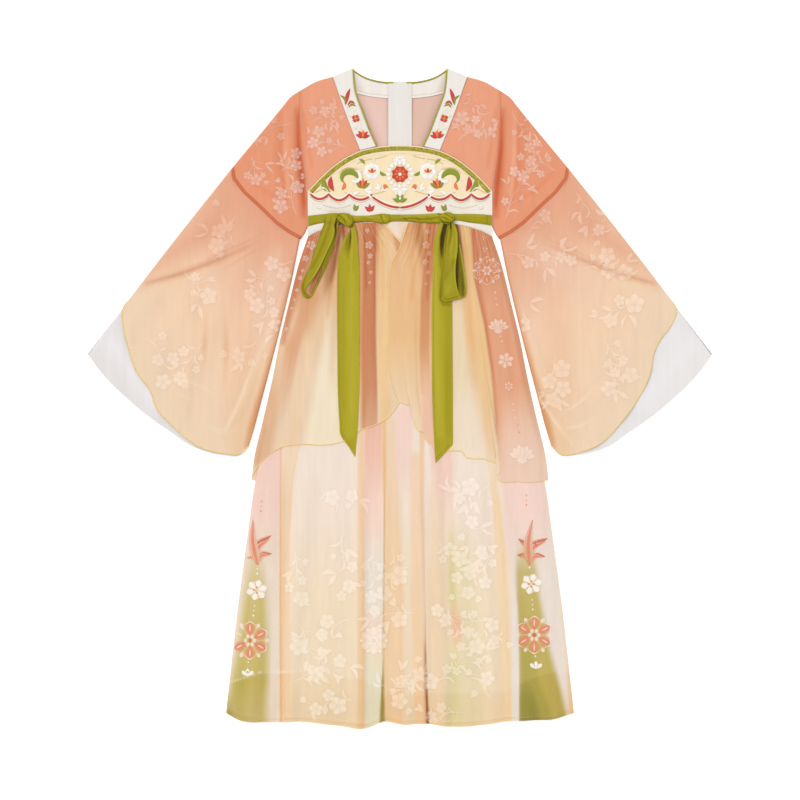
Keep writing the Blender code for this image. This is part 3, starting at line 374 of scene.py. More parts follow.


# Dyes and painted shade: each row is a colour, the softness of its edge, and its route: columns x, y, half
# width, strength.
SKIRT_GROUND = ((-40, "#f6e6d8"), (-200, "#f7e4d2"), (-330, "#f6e0c3"), (-450, "#f5dfc0"), (-545, "#f0d8b4"))
LINING_EDGE = (
    (-279, -472), (-226, -454), (-148, -456), (-99, -462), (-63, -465), (-26, -489), (44, -489), (115, -487),
    (175, -483), (223, -462), (244, -454),
)
SKIRT_DYES_AND_SHADE = (
    ("#f2d6b8", 8, ((-10, 292, 22, 0.95), (-6, 262, 16, 0.95), (2, 240, 10, 0.6), (2, 200, 6, 0))),
    ("#f9e8d8", 8, ((-14, 292, 9, 0.8), (-6, 268, 6, 0.7), (0, 250, 3, 0.2))),
    ("#f5d2c4", 6, ((-222, -40, 28, 1), (-226, -170, 30, 1), (-232, -240, 34, 0.6), (-238, -320, 36, 0))),
    ("#f1dfcd", 6, ((-232, -200, 34, 0), (-236, -290, 38, 0.9), (-240, -560, 44, 1))),
    ("#cdbb69", 10, ((-238, -235, 6, 0), (-238, -285, 13, 0.6), (-239, -335, 19, 0.9), (-242, -417, 26, 0.95),
        (-247, -467, 31, 1), (-250, -500, 31, 0.9), (-253, -560, 34, 0.75))),
    ("#b8ad52", 8, ((-250, -440, 6, 0), (-262, -470, 12, 0.4), (-265, -505, 14, 0.3),
        (-266, -560, 16, 0.25))),
    ("#a99d47", 5, ((-282, -480, 4, 0), (-284, -520, 7, 0.7), (-286, -560, 9, 0.8))),
    ("#f0dfcc", 1.6, ((-206, -300, 6, 0), (-206, -400, 7, 0.8), (-205, -560, 7.5, 1))),
    ("#f5d5ae", 2, ((-172, -40, 16, 0.6), (-184, -130, 9, 0.8), (-189, -230, 7, 0.9), (-189, -560, 7, 0.9))),
    ("#ecbc88", 0.9, ((-196, -60, 1.5, 0.7), (-197, -300, 2, 0.9), (-196, -560, 2, 0.8))),
    ("#f3cfa6", 1.4, ((-64, -40, 6, 0.8), (-64, -300, 6, 0.9), (-63, -560, 7, 1))),
    ("#f9d6c6", 1.2, ((-44, -40, 14, 1), (-44, -170, 14, 1), (-44, -230, 14, 0.7), (-44, -290, 14, 0))),
    ("#f1bda6", 1.2, ((-44, -30, 14, 0.95), (-44, -90, 14, 0.8), (-44, -170, 14, 0))),
    ("#f2c592", 1.2, ((-26, -40, 4, 0.95), (-26, -120, 3.5, 0.8), (-26, -200, 2, 0.4), (-26, -260, 1, 0))),
    ("#efe4d5", 1.2, ((-43, -215, 15, 0), (-43, -270, 15, 0.9), (-43, -340, 15, 0.9), (-43, -380, 15, 0))),
    ("#f4dac9", 1.2, ((-43, -345, 15, 0), (-43, -390, 15, 0.9), (-43, -430, 15, 0))),
    ("#e8e0c4", 1.2, ((-43, -405, 15, 0), (-43, -450, 15, 0.9), (-43, -560, 15, 1))),
    ("#b4a34e", 1, ((-27, -425, 0.2, 0), (-28, -470, 2.5, 0.9), (-30, -560, 5.5, 0.95))),
    ("#f3cfa4", 6, ((-15, -40, 9, 0.7), (-12, -200, 12, 0.8), (-9, -300, 15, 0.8), (-9, -560, 15, 0.8))),
    ("#f7d4c6", 9, ((6, -30, 16, 0.9), (6, -110, 16, 0.7), (6, -180, 14, 0))),
    ("#ecc192", 1, ((-26, -40, 0.8, 0.8), (-26, -420, 0.9, 0.7), (-27, -500, 1, 0.7))),
    ("#c99a5c", 1, ((-26, -450, 0.8, 0), (-27, -560, 1, 0.9))),
    ("#f2cb9e", 5, ((26, -100, 9, 0.6), (28, -350, 9, 0.6), (34, -560, 9, 0.9))),
    ("#f2c69c", 1.6, ((36, -50, 4, 0.8), (36, -120, 4, 0.7), (38, -250, 3, 0.4), (40, -340, 2, 0))),
    ("#efd0a8", 9, ((60, -150, 12, 0.4), (62, -300, 14, 0.6), (64, -560, 14, 0.5))),
    ("#edbfa4", 5, ((60, -40, 9, 0.8), (61, -90, 9, 0.7), (62, -150, 8, 0))),
    # Painted shade in the slit of the pleat, darkest at the hem.
    ("#c68a59", 1, ((38, -200, 0.6, 0.2), (41, -350, 0.8, 0.4), (43, -473, 1.8, 0.9), (47, -560, 3, 1))),
    ("#f6cfc0", 9, ((68, -40, 18, 0.9), (70, -120, 18, 0.9), (74, -190, 14, 0.3), (76, -240, 12, 0))),
    ("#ebdcb0", 14, ((96, -190, 10, 0), (100, -260, 14, 0.7), (104, -330, 20, 0.7), (108, -420, 28, 0.6),
        (108, -560, 30, 0.5))),
    ("#dfd29a", 5, ((84, -200, 5, 0), (84, -260, 6, 0.7), (86, -330, 7, 0.8), (90, -370, 7, 0))),
    ("#f2b797", 6, ((90, -330, 6, 0), (92, -370, 9, 0.75), (94, -395, 8, 0.5), (94, -420, 6, 0))),
    ("#e0d6a2", 6, ((92, -400, 7, 0), (90, -450, 11, 0.7), (88, -560, 13, 0.45))),
    ("#f5d9b2", 2.5, ((142, -60, 5, 0.4), (160, -180, 7, 0.9), (168, -300, 8, 0.9), (176, -560, 8, 1))),
    ("#f8d8cc", 6, ((194, -60, 34, 1), (206, -170, 36, 1), (214, -240, 38, 0.6), (220, -330, 40, 0))),
    ("#f2e5da", 5, ((216, -200, 36, 0), (222, -290, 38, 0.9), (236, -560, 48, 1))),
    ("#c5b25c", 7, ((208, -222, 8, 0), (208, -252, 12, 0.45), (208, -285, 17, 0.85), (211, -335, 20, 0.95),
        (220, -417, 26, 1), (232, -500, 37, 1), (239, -560, 44, 1))),
    ("#ada348", 6, ((206, -330, 6, 0), (208, -400, 9, 0.4), (214, -470, 14, 0.6), (224, -520, 24, 0.7),
        (230, -560, 30, 0.8))),
    ("#999340", 6, ((200, -462, 6, 0), (208, -495, 14, 0.6), (212, -520, 17, 0.7), (212, -560, 18, 0.7))),
    ("#f0e5d9", 1.6, ((183, -250, 3, 0), (189, -350, 5, 0.9), (190, -450, 6, 1), (190, -560, 6, 1))),
    ("#eecb9e", 6, ((280, -400, 3, 0), (284, -470, 6, 0.8), (285, -560, 9, 1))),
    ("#f3cfae", 3, ((-286, -450, 2, 0), (-290, -560, 3, 0.7))),
)
OVERSKIRT_GROUND_LEFT = (
    (289, "#d99b72"), (245, "#dda67e"), (200, "#e5b489"), (130, "#ecc79f"), (40, "#f0d3b2"),
    (-140, "#f0d2b4"),
)
OVERSKIRT_DYES_AND_SHADE_LEFT = (
    # Painted shade by the loop, between it and the tail.
    ("#a5693c", 4, ((-112, 268, 3, 0.6), (-108, 245, 4, 0.85), (-107, 226, 3.5, 0.85), (-110, 206, 3, 0.7),
        (-118, 186, 2.5, 0.4), (-126, 166, 2, 0))),
    ("#f9deba", 7, ((-30, 284, 4, 0.3), (-24, 262, 7, 0.6), (-17, 236, 7, 0.6), (-20, 205, 5, 0.3),
        (-22, 170, 4, 0))),
    # Painted shade between the loop and the tail, darkest in a line along the tail.
    ("#a8663f", 6, ((-96, 288, 7, 0.85), (-101, 262, 7, 0.85), (-108, 235, 7, 0.65), (-114, 205, 6, 0.3),
        (-120, 180, 5, 0))),
    ("#7b4527", 2.2, ((-95, 288, 4, 0.9), (-98, 270, 2.5, 0.8), (-104, 246, 2, 0.7), (-106, 222, 1.6, 0.6),
        (-109, 205, 1.5, 0))),
    # Painted shade where the overskirt shows inside the loop.
    ("#b9623f", 3, ((-128, 218, 2, 0.8), (-137, 196, 4, 0.95), (-147, 176, 4, 0.95))),
    # Painted shade right of the tail, by the knot.
    ("#b5673f", 3, ((-64, 290, 4, 0.8), (-63, 276, 2, 0.4), (-62, 266, 1, 0))),
    ("#cf8460", 7, ((-154, 262, 16, 0.9), (-166, 200, 9, 1), (-182, 140, 6, 0.9), (-192, 90, 4, 0.8))),
    ("#daa06c", 9, ((-146, 200, 14, 0.3), (-150, 165, 18, 0.85), (-154, 125, 14, 0.5), (-156, 90, 10, 0))),
    ("#e2a880", 5, ((-140, 190, 5, 0), (-158, 140, 8, 0.8), (-178, 78, 12, 0.9), (-188, 20, 11, 0.5),
        (-194, -40, 9, 0))),
    ("#f0d3b0", 5, ((-150, 60, 5, 0), (-162, 10, 7, 0.6), (-172, -60, 9, 0.7), (-178, -110, 10, 0.5))),
    ("#e0b189", 9, ((-196, 70, 6, 0.2), (-210, 0, 13, 0.8), (-230, -100, 17, 0.9))),
    ("#f6e5c8", 10, ((-116, 170, 5, 0), (-110, 110, 11, 0.9), (-116, 30, 24, 1), (-124, -60, 32, 1),
        (-124, -90, 34, 1))),
    ("#e8b98c", 8, ((-96, 280, 14, 0.2), (-98, 200, 10, 0.5), (-100, 120, 6, 0.3))),
    # Painted shade along the tail's left edge.
    ("#e2bc8e", 6, ((-106, 200, 5, 0.3), (-109, 120, 6, 0.6), (-110, 40, 5, 0.4), (-110, -10, 3, 0))),
    ("#daa06d", 2.5, ((-64, 290, 5, 0.9), (-63, 180, 5, 0.9), (-62, 60, 4.5, 0.95), (-61, -20, 4, 0.9),
        (-61, -70, 4, 0.6))),
    ("#ce8459", 1.8, ((-50, 300, 10, 1), (-51, 200, 10, 1), (-52, 110, 11, 1), (-50, 20, 12, 0.9),
        (-49, -70, 12, 0.5))),
    ("#c67a50", 1.5, ((-42, 300, 1.5, 0.7), (-42, 200, 1.8, 0.7), (-40, 100, 1.5, 0.5), (-38, 20, 1.2, 0.3),
        (-37, -60, 1, 0))),
    ("#f3cda2", 4, ((-22, 290, 5, 0.8), (-17, 262, 6, 0.9), (-10, 232, 6, 0.9), (-8, 190, 5, 0.3))),
    ("#f1ca94", 3, ((-27, 270, 7, 0.8), (-28, 150, 8, 0.9), (-26, 20, 9, 0.9), (-22, -50, 9, 0.8))),
    # Painted shade along the loop's inner strand.
    ("#b47a4e", 6, ((-112, 245, 4, 0.5), (-114, 218, 6, 0.75), (-118, 196, 7, 0.75), (-123, 172, 6, 0.35),
        (-127, 150, 4, 0))),
    # Painted shade between the knot and the tail.
    ("#a9663f", 4, ((-99, 288, 4, 0.7), (-93, 272, 5.5, 0.8), (-90, 256, 3, 0.3))),
)
OVERSKIRT_GROUND_RIGHT = (
    (289, "#dfa878"), (240, "#e9b888"), (180, "#eebf8d"), (100, "#edc18c"), (10, "#f1d2ab"),
    (-140, "#f4dfc8"),
)
OVERSKIRT_DYES_AND_SHADE_RIGHT = (
    ("#f2cb9c", 6, ((8, 262, 3, 0.4), (6, 245, 5, 0.6), (4, 222, 6, 0.5), (6, 180, 5, 0))),
    # Painted shadow along the right side of the bow's back loop.
    ("#935c34", 2.2, ((90, 290, 5, 0.95), (96, 268, 3.5, 0.9), (101, 245, 2.6, 0.8), (107, 215, 2, 0.5),
        (111, 185, 1.4, 0.3))),
    # Painted shade beside the tail, under the band.
    ("#9b5a38", 3, ((50, 290, 5, 0.7), (50, 272, 3, 0.5), (48, 255, 2, 0))),
    ("#f0cf9d", 7, ((40, 282, 5, 0.6), (32, 250, 7, 0.7), (24, 200, 6, 0.2), (22, 150, 4, 0))),
    # Painted shade in the gathers under the band.
    ("#c98a58", 6, ((30, 290, 7, 0.9), (34, 258, 8, 0.8), (40, 225, 7, 0.6), (44, 170, 5, 0.2))),
    ("#d18b5e", 2.5, ((52, 285, 9, 1), (47, 220, 8, 1), (42, 160, 8, 0.9), (40, 80, 8, 0.7),
        (42, 10, 8, 0.3))),
    ("#f0bfa6", 6, ((44, 60, 8, 0), (46, 0, 10, 0.8), (50, -90, 14, 0.8))),
    ("#edd8b4", 5, ((92, 210, 6, 0), (94, 140, 10, 0.9), (98, 60, 13, 1), (104, -20, 17, 1),
        (112, -105, 26, 1))),
    ("#f5e3cd", 7, ((104, 40, 10, 0), (108, -20, 17, 0.7), (116, -105, 28, 0.95))),
    ("#eec792", 5, ((108, 286, 7, 1), (115, 200, 8, 1), (131, 100, 10, 1), (142, 0, 10, 0.8),
        (152, -100, 9, 0.4))),
    ("#e6a682", 2, ((144, 276, 26, 1), (153, 196, 31, 1), (170, 122, 31, 1), (184, 46, 33, 1),
        (197, -28, 41, 0.9), (206, -70, 45, 0.6), (212, -145, 49, 0.3))),
    ("#d48d63", 9, ((136, 284, 20, 0.8), (142, 240, 18, 0.7), (150, 190, 18, 0.3), (156, 150, 14, 0))),
    ("#f1cfb9", 14, ((200, 20, 30, 0), (205, -30, 36, 0.5), (210, -90, 42, 0.85), (214, -140, 44, 1))),
    ("#c97a50", 2.5, ((120, 274, 2.5, 0.8), (124, 196, 2.5, 0.8), (140, 122, 2, 0.7), (151, 46, 2, 0.5),
        (157, -28, 2, 0.2), (162, -100, 2, 0))),
)
# Along a lower sleeve, from its seam to its hem.
SLEEVE_GROUND = (
    (0, "#e8a788"), (0.12, "#ebb18f"), (0.26, "#efbd9f"), (0.42, "#f6ceaf"), (0.62, "#f6d3b2"),
    (0.82, "#f3d4b5"), (1, "#f1d6b7"),
)
SLEEVE_DYES = (
    ("#e8a884", 24, ((-270, 345, 14, 0.4), (-310, 285, 24, 0.8), (-380, 232, 18, 0.7), (-420, 192, 8, 0.4))),
    ("#d99a70", 8, ((-419, 186, 2, 0.5), (-360, 203, 4, 0.6), (-300, 226, 4, 0.5), (-236, 254, 3, 0.2))),
    ("#d58f66", 1.6, ((-418, 188, 0.6, 0.7), (-372, 200, 1, 0.7), (-318, 218, 1, 0.6), (-262, 244, 0.6, 0))),
    ("#d9966d", 1.6, ((-320, 226, 0.5, 0), (-290, 240, 1, 0.6), (-252, 256, 1, 0.6), (-222, 272, 0.5, 0))),
    ("#dc9c73", 1.8, ((-300, 205, 0.5, 0), (-272, 222, 1, 0.5), (-240, 240, 1, 0.5), (-214, 256, 0.5, 0))),
    ("#f0c39f", 14, ((-262, 220, 14, 0.2), (-258, 120, 20, 0.5), (-262, 20, 26, 0.5), (-270, -80, 20, 0.2))),
    ("#f0c8a0", 12, ((-232, 60, 14, 0.2), (-250, -10, 18, 0.7), (-262, -80, 18, 0.7))),
    ("#dd9d68", 5, ((-176, 230, 2, 0.3), (-196, 130, 4, 0.6), (-222, 20, 7, 0.9), (-241, -50, 9, 0.9),
        (-246, -80, 10, 0.8))),
    ("#d78358", 2, ((-166, 258, 1, 0.8), (-180, 190, 1, 0.7), (-204, 90, 1, 0.6), (-228, -5, 1, 0.6),
        (-245, -70, 1, 0.3))),
    ("#e8a685", 4, ((-279, 375, 1, 0.6), (-365, 267, 1, 0.6), (-420, 197, 1, 0.3))),
)

SLEEVE_LIGHTS = {
    "left": (
        ("#f4cfb5", 13, ((-202, 240, 8, 0.4), (-210, 200, 16, 0.7), (-224, 140, 16, 0.6), (-240, 90, 12, 0))),
        ("#e0a57c", 5, ((-318, 160, 2, 0), (-322, 90, 4, 0.5), (-326, 20, 3, 0))),
        ("#e2a982", 5, ((-288, 150, 2, 0), (-286, 80, 4, 0.5), (-290, 10, 3, 0))),
        ("#f9e2c2", 2.4, ((-229, 84, 0.5, 0), (-247, 40, 1.5, 0.7), (-262, 0, 2, 0.8), (-289, -62, 2, 0.4))),
        ("#f9e2c2", 2.2, ((-378, 12, 0.5, 0), (-355, 28, 1.5, 0.7), (-330, 18, 1.5, 0.7), (-303, 2, 0.5, 0))),
        ("#f8e0c0", 2.2, ((-372, 8, 0.5, 0), (-350, -2, 1.2, 0.6), (-318, -14, 0.5, 0))),
        ("#f7e0c2", 3, ((-330, -40, 1, 0), (-300, -56, 3, 0.6), (-262, -52, 2, 0))),
    ),
    "right": (
        ("#f3ccb1", 20, ((214, 252, 12, 0.4), (250, 226, 24, 0.6), (300, 200, 24, 0.5), (340, 150, 16, 0.1))),
        ("#f9e2c2", 2.4, ((222, 24, 0.5, 0), (231, -4, 1.5, 0.7), (256, -42, 2, 0.8), (285, -78, 1.5, 0.3))),
        ("#f9e2c2", 2.2, ((270, -24, 0.5, 0), (284, -17, 1.5, 0.8), (301, -5, 1.5, 0.8), (322, 13, 0.5, 0))),
        ("#f9e2c2", 2.4, ((262, -50, 0.5, 0), (282, -51, 2, 0.8), (301, -46, 2, 0.8), (326, -31, 0.5, 0))),
        ("#f8e0c0", 2.2, ((330, 50, 0.5, 0), (352, 68, 1, 0.5), (398, 106, 0.5, 0))),
    ),
}

# Branches of the blossom print: columns x, y, heading in degrees, length, share of white.
FRONT_SPRAYS = {
    "left": (
        (-92, 480, 205, 62, 0.3), (-88, 412, 150, 56, 0.32), (-146, 452, 10, 44, 0.22),
    ),
    "right": (
        (96, 420, 60, 66, 0.32), (150, 470, 195, 48, 0.28), (118, 508, 250, 40, 0.24),
    ),
}
UPPER_SPRAYS = {
    "left": (
        (-170, 300, 128, 84, 0.36), (-196, 372, 20, 40, 0.3), (-178, 452, 215, 64, 0.24),
        (-246, 396, 300, 40, 0.3), (-200, 300, 60, 36, 0.34),
    ),
    "right": (
        (172, 292, 62, 78, 0.36), (232, 362, 118, 60, 0.32), (184, 470, 285, 66, 0.26),
        (258, 372, 170, 46, 0.3),
    ),
}
LOWER_SPRAYS = {
    "left": (
        (-172, 226, 196, 96, 0.32), (-214, 180, 262, 66, 0.34), (-300, 346, 232, 58, 0.24),
        (-356, 206, 318, 58, 0.34), (-420, 96, 336, 84, 0.34), (-322, 92, 232, 74, 0.32),
        (-236, 96, 250, 44, 0.26), (-268, 250, 150, 40, 0.22),
    ),
    "right": (
        (176, 236, 352, 92, 0.34), (196, 168, 300, 84, 0.36), (286, 340, 300, 78, 0.34),
        (300, 210, 20, 74, 0.3), (392, 178, 250, 70, 0.34), (330, 96, 330, 78, 0.34),
        (252, 60, 285, 66, 0.32), (380, 60, 215, 60, 0.3), (214, 270, 60, 40, 0.24),
    ),
}
SKIRT_SPRAYS = (
    (-176, -250, 300, 84, 0.55), (-92, -222, 236, 92, 0.5), (-168, -372, 316, 92, 0.6),
    (-84, -366, 214, 78, 0.55), (-176, -468, 24, 84, 0.55), (-76, -500, 152, 66, 0.55),
    (-130, -150, 280, 60, 0.45), (-14, -250, 290, 78, 0.45), (24, -356, 200, 66, 0.55),
    (-12, -500, 80, 70, 0.5), (22, -446, 224, 60, 0.5), (62, -236, 300, 78, 0.5), (112, -176, 262, 84, 0.6),
    (160, -250, 214, 88, 0.65), (66, -352, 312, 86, 0.5), (164, -356, 222, 92, 0.6), (58, -470, 32, 88, 0.55),
    (150, -496, 138, 76, 0.55), (106, -420, 60, 62, 0.55), (-44, -250, 262, 60, 0.3),
    (150, -140, 240, 60, 0.4), (100, -520, 168, 50, 0.45),
)


# On the band: painted shade along its lower edge and in hollows by the knots, and painted highlights along
# its upper side.
BAND_SHADE_AND_SHEEN = (
    (SATIN_SHADE, 2, ((-80, 288, 1, 0.7), (-30, 287, 1, 0.6), (0, 289.5, 1, 0.7), (66, 286, 1.2, 0.8))),
    (SATIN_HIGHLIGHT, 2, ((-78, 297, 1.6, 0.6), (-34, 296, 1.6, 0.6))),
    (SATIN_HIGHLIGHT, 2, ((2, 298, 1.4, 0.6), (66, 300, 1.6, 0.6))),
    (HOLLOW_SHADE, 1.5, ((-81, 290, 1.2, 0.8), (-78, 285, 1.4, 0.8))),
    (HOLLOW_SHADE, 1.2, ((62, 301.5, 1, 0.7), (66, 301, 1, 0.7))),
)
# On the loops: painted shade on their inner sides and in hollows, and painted highlights on the front loop
# and the back loop's rim.
LOOP_SHADE_LEFT = (
    (SATIN_SHADE, 3, ((-124, 290, 2, 0.5), (-146, 226, 2, 0.4), (-161, 180, 2, 0.6), (-151, 163, 2, 0.8))),
    ("#7a7009", 2.6, ((-104, 282, 1.5, 0.7), (-107, 262, 2, 0.8), (-115, 238, 2, 0.9), (-124, 216, 2, 0.8),
        (-136, 188, 1.6, 0.7))),
    (HOLLOW_SHADE, 1.1, ((-104.5, 292, 1.4, 0.95), (-106.4, 282, 1.6, 0.95), (-105.4, 272, 1, 0.9),
        (-108, 260, 0.6, 0.4))),
    (HOLLOW_SHADE, 0.8, ((-129, 208, 0.6, 0.4), (-134.8, 194.6, 0.9, 0.9), (-141.6, 180.7, 1, 0.9),
        (-146.5, 170.5, 1, 0.9))),
)
LOOP_SHADE_AND_SHEEN_BACK = (
    ("#6b5d05", 3, ((96, 266, 3, 0.8), (97, 240, 5, 0.8), (99, 210, 6, 0.8), (101, 182, 6, 0.7),
        (102, 168, 4, 0.6))),
    (HOLLOW_SHADE, 2.6, ((88, 160, 4, 0.95), (92, 176, 4.2, 0.95), (93, 200, 3.6, 0.9), (94, 226, 3, 0.8),
        (94, 250, 2, 0.5))),
    ("#57480b", 2, ((104, 168, 1.6, 0.6), (103.5, 182, 2, 0.8), (101, 204, 1.6, 0.4))),
    (SATIN_HIGHLIGHT, 1, ((108.5, 180, 0.8, 0.8), (105.6, 206, 0.9, 0.95), (101.6, 230, 0.9, 0.95),
        (98, 250, 0.8, 0.8))),
)
LOOP_SHADE_AND_SHEEN_FRONT = (
    (SATIN_SHADE, 3, ((80, 284, 1, 0.6), (75, 262, 2, 0.6), (73, 240, 2, 0.3), (71, 205, 2.5, 0.5),
        (68, 166, 2.6, 0.7))),
    ("#857a05", 6, ((82, 222, 6, 0.7), (80, 204, 7, 0.7), (80, 190, 6, 0.2))),
    ("#a9a02a", 5, ((84, 246, 4, 0.5), (80, 176, 7, 0.6))),
    (HOLLOW_SHADE, 1, ((83.5, 285, 1.2, 0.95), (83.2, 279, 1.4, 0.95), (83.8, 272, 0.8, 0.3))),
)
# Loops of the bows: name, node, cross sections, points across and along, arch, reach, creases, painted shade
# and highlights, seed.
LOOPS = (
    ("left", ("tie_loop_left",), LOOP_LEFT, 18, 230, 0.8, 2, LOOP_CREASES_LEFT, LOOP_SHADE_LEFT, 131),
    ("right_back", (), LOOP_RIGHT_BACK, 16, 160, 0.3, 3, (), LOOP_SHADE_AND_SHEEN_BACK, 0),
    ("right_front", ("tie_loop_right",), LOOP_RIGHT_FRONT, 22, 220, 0.9, 2, LOOP_CREASES_RIGHT,
        LOOP_SHADE_AND_SHEEN_FRONT, 141),
)

# Each sheet: name, how it's held, what it rests on, its layers and fullness, and the pieces sewn on.
# SIDE stands for left and right.
SIDE_SHEETS = (
    ("back_lining_SIDE", "laid", "floor", 1, 1),
    ("collar_band_SIDE", "laid", "back_lining_SIDE", 1, 1, "collar_cord_SIDE"),
    ("shoulder_SIDE", "laid", "back_lining_SIDE", 1, 1, "shoulder_print_SIDE"),
    ("upper_sleeve_cloth_SIDE", "laid", "floor", 2, 1, "upper_print_SIDE"),
    ("lower_sleeve_cloth_SIDE", "laid", "floor", 2, 1, "lower_print_SIDE"),
    ("inner_sleeve_cloth_SIDE", "laid", "lower_sleeve_cloth_SIDE", 2, 1),
    ("overskirt_cloth_SIDE", "gathered", "skirt_front_cloth", 1, 1.15, "overskirt_print_SIDE"),
    ("sash_tail_SIDE", "laid", "overskirt_cloth_SIDE", 1, 1, "sash_stitches_SIDE"),
    ("sash_knot_SIDE", "folded", "sash_band", 1, 1),
)
MIDDLE_SHEETS = (
    ("neck_facing", "laid", "back_lining_left", 1, 1, "back_neck_cord_left", "back_neck_cord_right"),
    ("zip_guard_cloth", "laid", "neck_facing", 1, 1),
    ("chest_cloth", "laid", "back_lining_left", 1, 1, "arch_band", "chest_embroidery"),
    ("overskirt_back_cloth", "laid", "floor", 1, 1),
    ("skirt_back_cloth", "laid", "overskirt_back_cloth", 1, 1),
    ("lining_cloth", "laid", "skirt_back_cloth", 2, 1),
    ("skirt_front_cloth", "gathered", "lining_cloth", 1, 1.12, "skirt_print", "skirt_hem_stitches"),
    ("sash_band", "stretched", "chest_cloth", 1, 1),
    ("sash_loop_left", "folded", "overskirt_cloth_left", 1, 1),
    ("sash_loop_right_back", "folded", "overskirt_cloth_right", 1, 1),
    ("sash_loop_right_front", "folded", "overskirt_cloth_right", 1, 1),
)

CUT = {}  # the cloths by name
SIDES = (("left", 1), ("right", -1))  # with the factor that turns an x of the left side into their own


def level(number):
    """Height of the underside of a layer, counted from the surface up."""
    return number * (WALL + GAP)


def smooth(share):
    share = np.clip(share, 0, 1)
    return share * share * (3 - 2 * share)


def even(count):
    return np.linspace(0, 1, count)


def rounded(share):
    """Height of a fold, 1 at its crest, at 0, and 0 at its feet, at -1 and 1."""
    return np.cos(np.clip(share, -1, 1) * np.pi / 2) ** 2


def steps(points):
    return np.linalg.norm(np.diff(points, axis=0), axis=1)


def run(points):
    """Length of a route up to each of its points."""
    return np.concatenate([[0], np.cumsum(steps(points))])


def curve(points):
    """A smooth curve through points, as a function of the share of its length."""
    points = np.array(points, float)
    chord, knots = steps(points[:, :2]), run(points[:, :2])
    if len(points) == 2:
        slopes = np.repeat(np.diff(points, axis=0) / chord[:, None], 2, axis=0)
    else:
        slopes = np.gradient(points, knots, axis=0)
    fine = np.linspace(0, knots[-1], 40 * len(points))
    span = np.clip(np.searchsorted(knots, fine, side="right") - 1, 0, len(points) - 2)
    size = chord[span][:, None]
    t = (fine - knots[span])[:, None] / size
    traced = (
        (1 + 2 * t) * (1 - t) ** 2 * points[span]
        + t * (1 - t) ** 2 * size * slopes[span]
        + t * t * (3 - 2 * t) * points[span + 1]
        - t * t * (1 - t) * size * slopes[span + 1]
    )
    along = run(traced[:, :2])
    along /= along[-1]

    def at(share):
        return np.stack([np.interp(share, along, column) for column in traced.T], axis=-1)

    return at


def mirrored(points):
    return tuple((-x, y) for x, y in points)


def both_halves(points):
    """An outline of the left half that ends on the middle, carried on over the right half."""
    return tuple(points) + mirrored(points)[-2::-1]


def shifted(points, dx, dy):
    return tuple((x + dx, y + dy) for x, y in points)


def ahead_of(points, least=1e-9):
    """Unit directions along a route."""
    ahead = np.gradient(points, axis=0)
    return ahead / (np.linalg.norm(ahead, axis=1)[:, None] + least)


def right_of(points, least=1e-9):
    ahead = ahead_of(points, least)
    return np.stack([ahead[:, 1], -ahead[:, 0]], axis=1)


def offset(points, distance):
    """Points moved sideways, to the right of their direction when distance is positive."""
    return points + distance * right_of(points, 0)


def towards(angle):
    """The unit direction of an angle in degrees."""
    turn = np.radians(angle)
    return np.array((np.cos(turn), np.sin(turn)))


def patch(left, right, low, high, across, along):
    """Plan points that fill four edges. left and right run from low to high."""
    left, right, low, high = (curve(edge) for edge in (left, right, low, high))
    u = np.broadcast_to(across, (len(along), len(across)))
    u3, v3 = u[..., None], along[:, None, None]
    sides = (1 - u3) * left(along)[:, None] + u3 * right(along)[:, None]
    ends = (1 - v3) * low(u) + v3 * high(u)
    low_corners, high_corners = ((1 - u3) * end(0) + u3 * end(1) for end in (low, high))
    return sides + ends - ((1 - v3) * low_corners + v3 * high_corners)


def side_distance(plan):
    """Distance of each plan point from the nearer end of its row."""
    reach = np.cumsum(np.linalg.norm(np.diff(plan, axis=1, prepend=plan[:, :1]), axis=2), axis=1)
    return np.minimum(reach, reach[:, -1:] - reach)


def fold_rise(across, along, folds):
    """Height of the folds at shares across a piece and along it, from 0 at the waist to 1 at the hem."""
    rise = 0
    for middle, half_width, at_waist, at_hem in folds:
        rise = rise + rounded((across - middle) / half_width) * (at_waist + (at_hem - at_waist) * along)
    return rise


def paint(code):
    """Linear colour of an sRGB hex value."""
    channels = np.array([int(code[k : k + 2], 16) for k in (1, 3, 5)]) / 255
    return np.where(channels <= 0.04045, channels / 12.92, ((channels + 0.055) / 1.055) ** 2.4)


def ground(places, stops):
    """Colours at places, between stops of place and colour."""
    at, codes = zip(*sorted(stops))
    return np.stack([np.interp(places, at, channel) for channel in zip(*map(paint, codes))], axis=-1)


def beside(plan, route):
    """Signed distance of plan points from a route, above 0 on its right, and the route's other
    columns and the share of its length at the nearest place."""
    route = np.asarray(route, float)
    along = run(route[:, :2])
    table = np.column_stack([route[:, 2:], along / along[-1]])
    nearest = np.full(plan.shape[:-1], np.inf)
    signed = np.zeros(nearest.shape)
    columns = np.zeros(nearest.shape + table.shape[1:])
    for start, step, low, high in zip(route[:, :2], np.diff(route[:, :2], axis=0), table[:-1], table[1:]):
        t = np.clip((plan - start) @ step / (step @ step), 0, 1)
        away = plan - start - t[..., None] * step
        distance = np.linalg.norm(away, axis=-1)
        right = np.sign(step[1] * away[..., 0] - step[0] * away[..., 1])
        closer = distance < nearest
        nearest[closer] = distance[closer]
        signed[closer] = (distance * right)[closer]
        columns[closer] = (low + t[..., None] * (high - low))[closer]
    return signed, columns


def for_side(turn, table):
    """A table of creases or dyes of the left side, for the side that turn stands for."""
    rows = []
    for *facts, route in table:
        if len(facts) == 3:  # creases lean
            facts[2] *= turn
        rows.append((*facts, [(turn * x, *rest) for x, *rest in route]))
    return rows


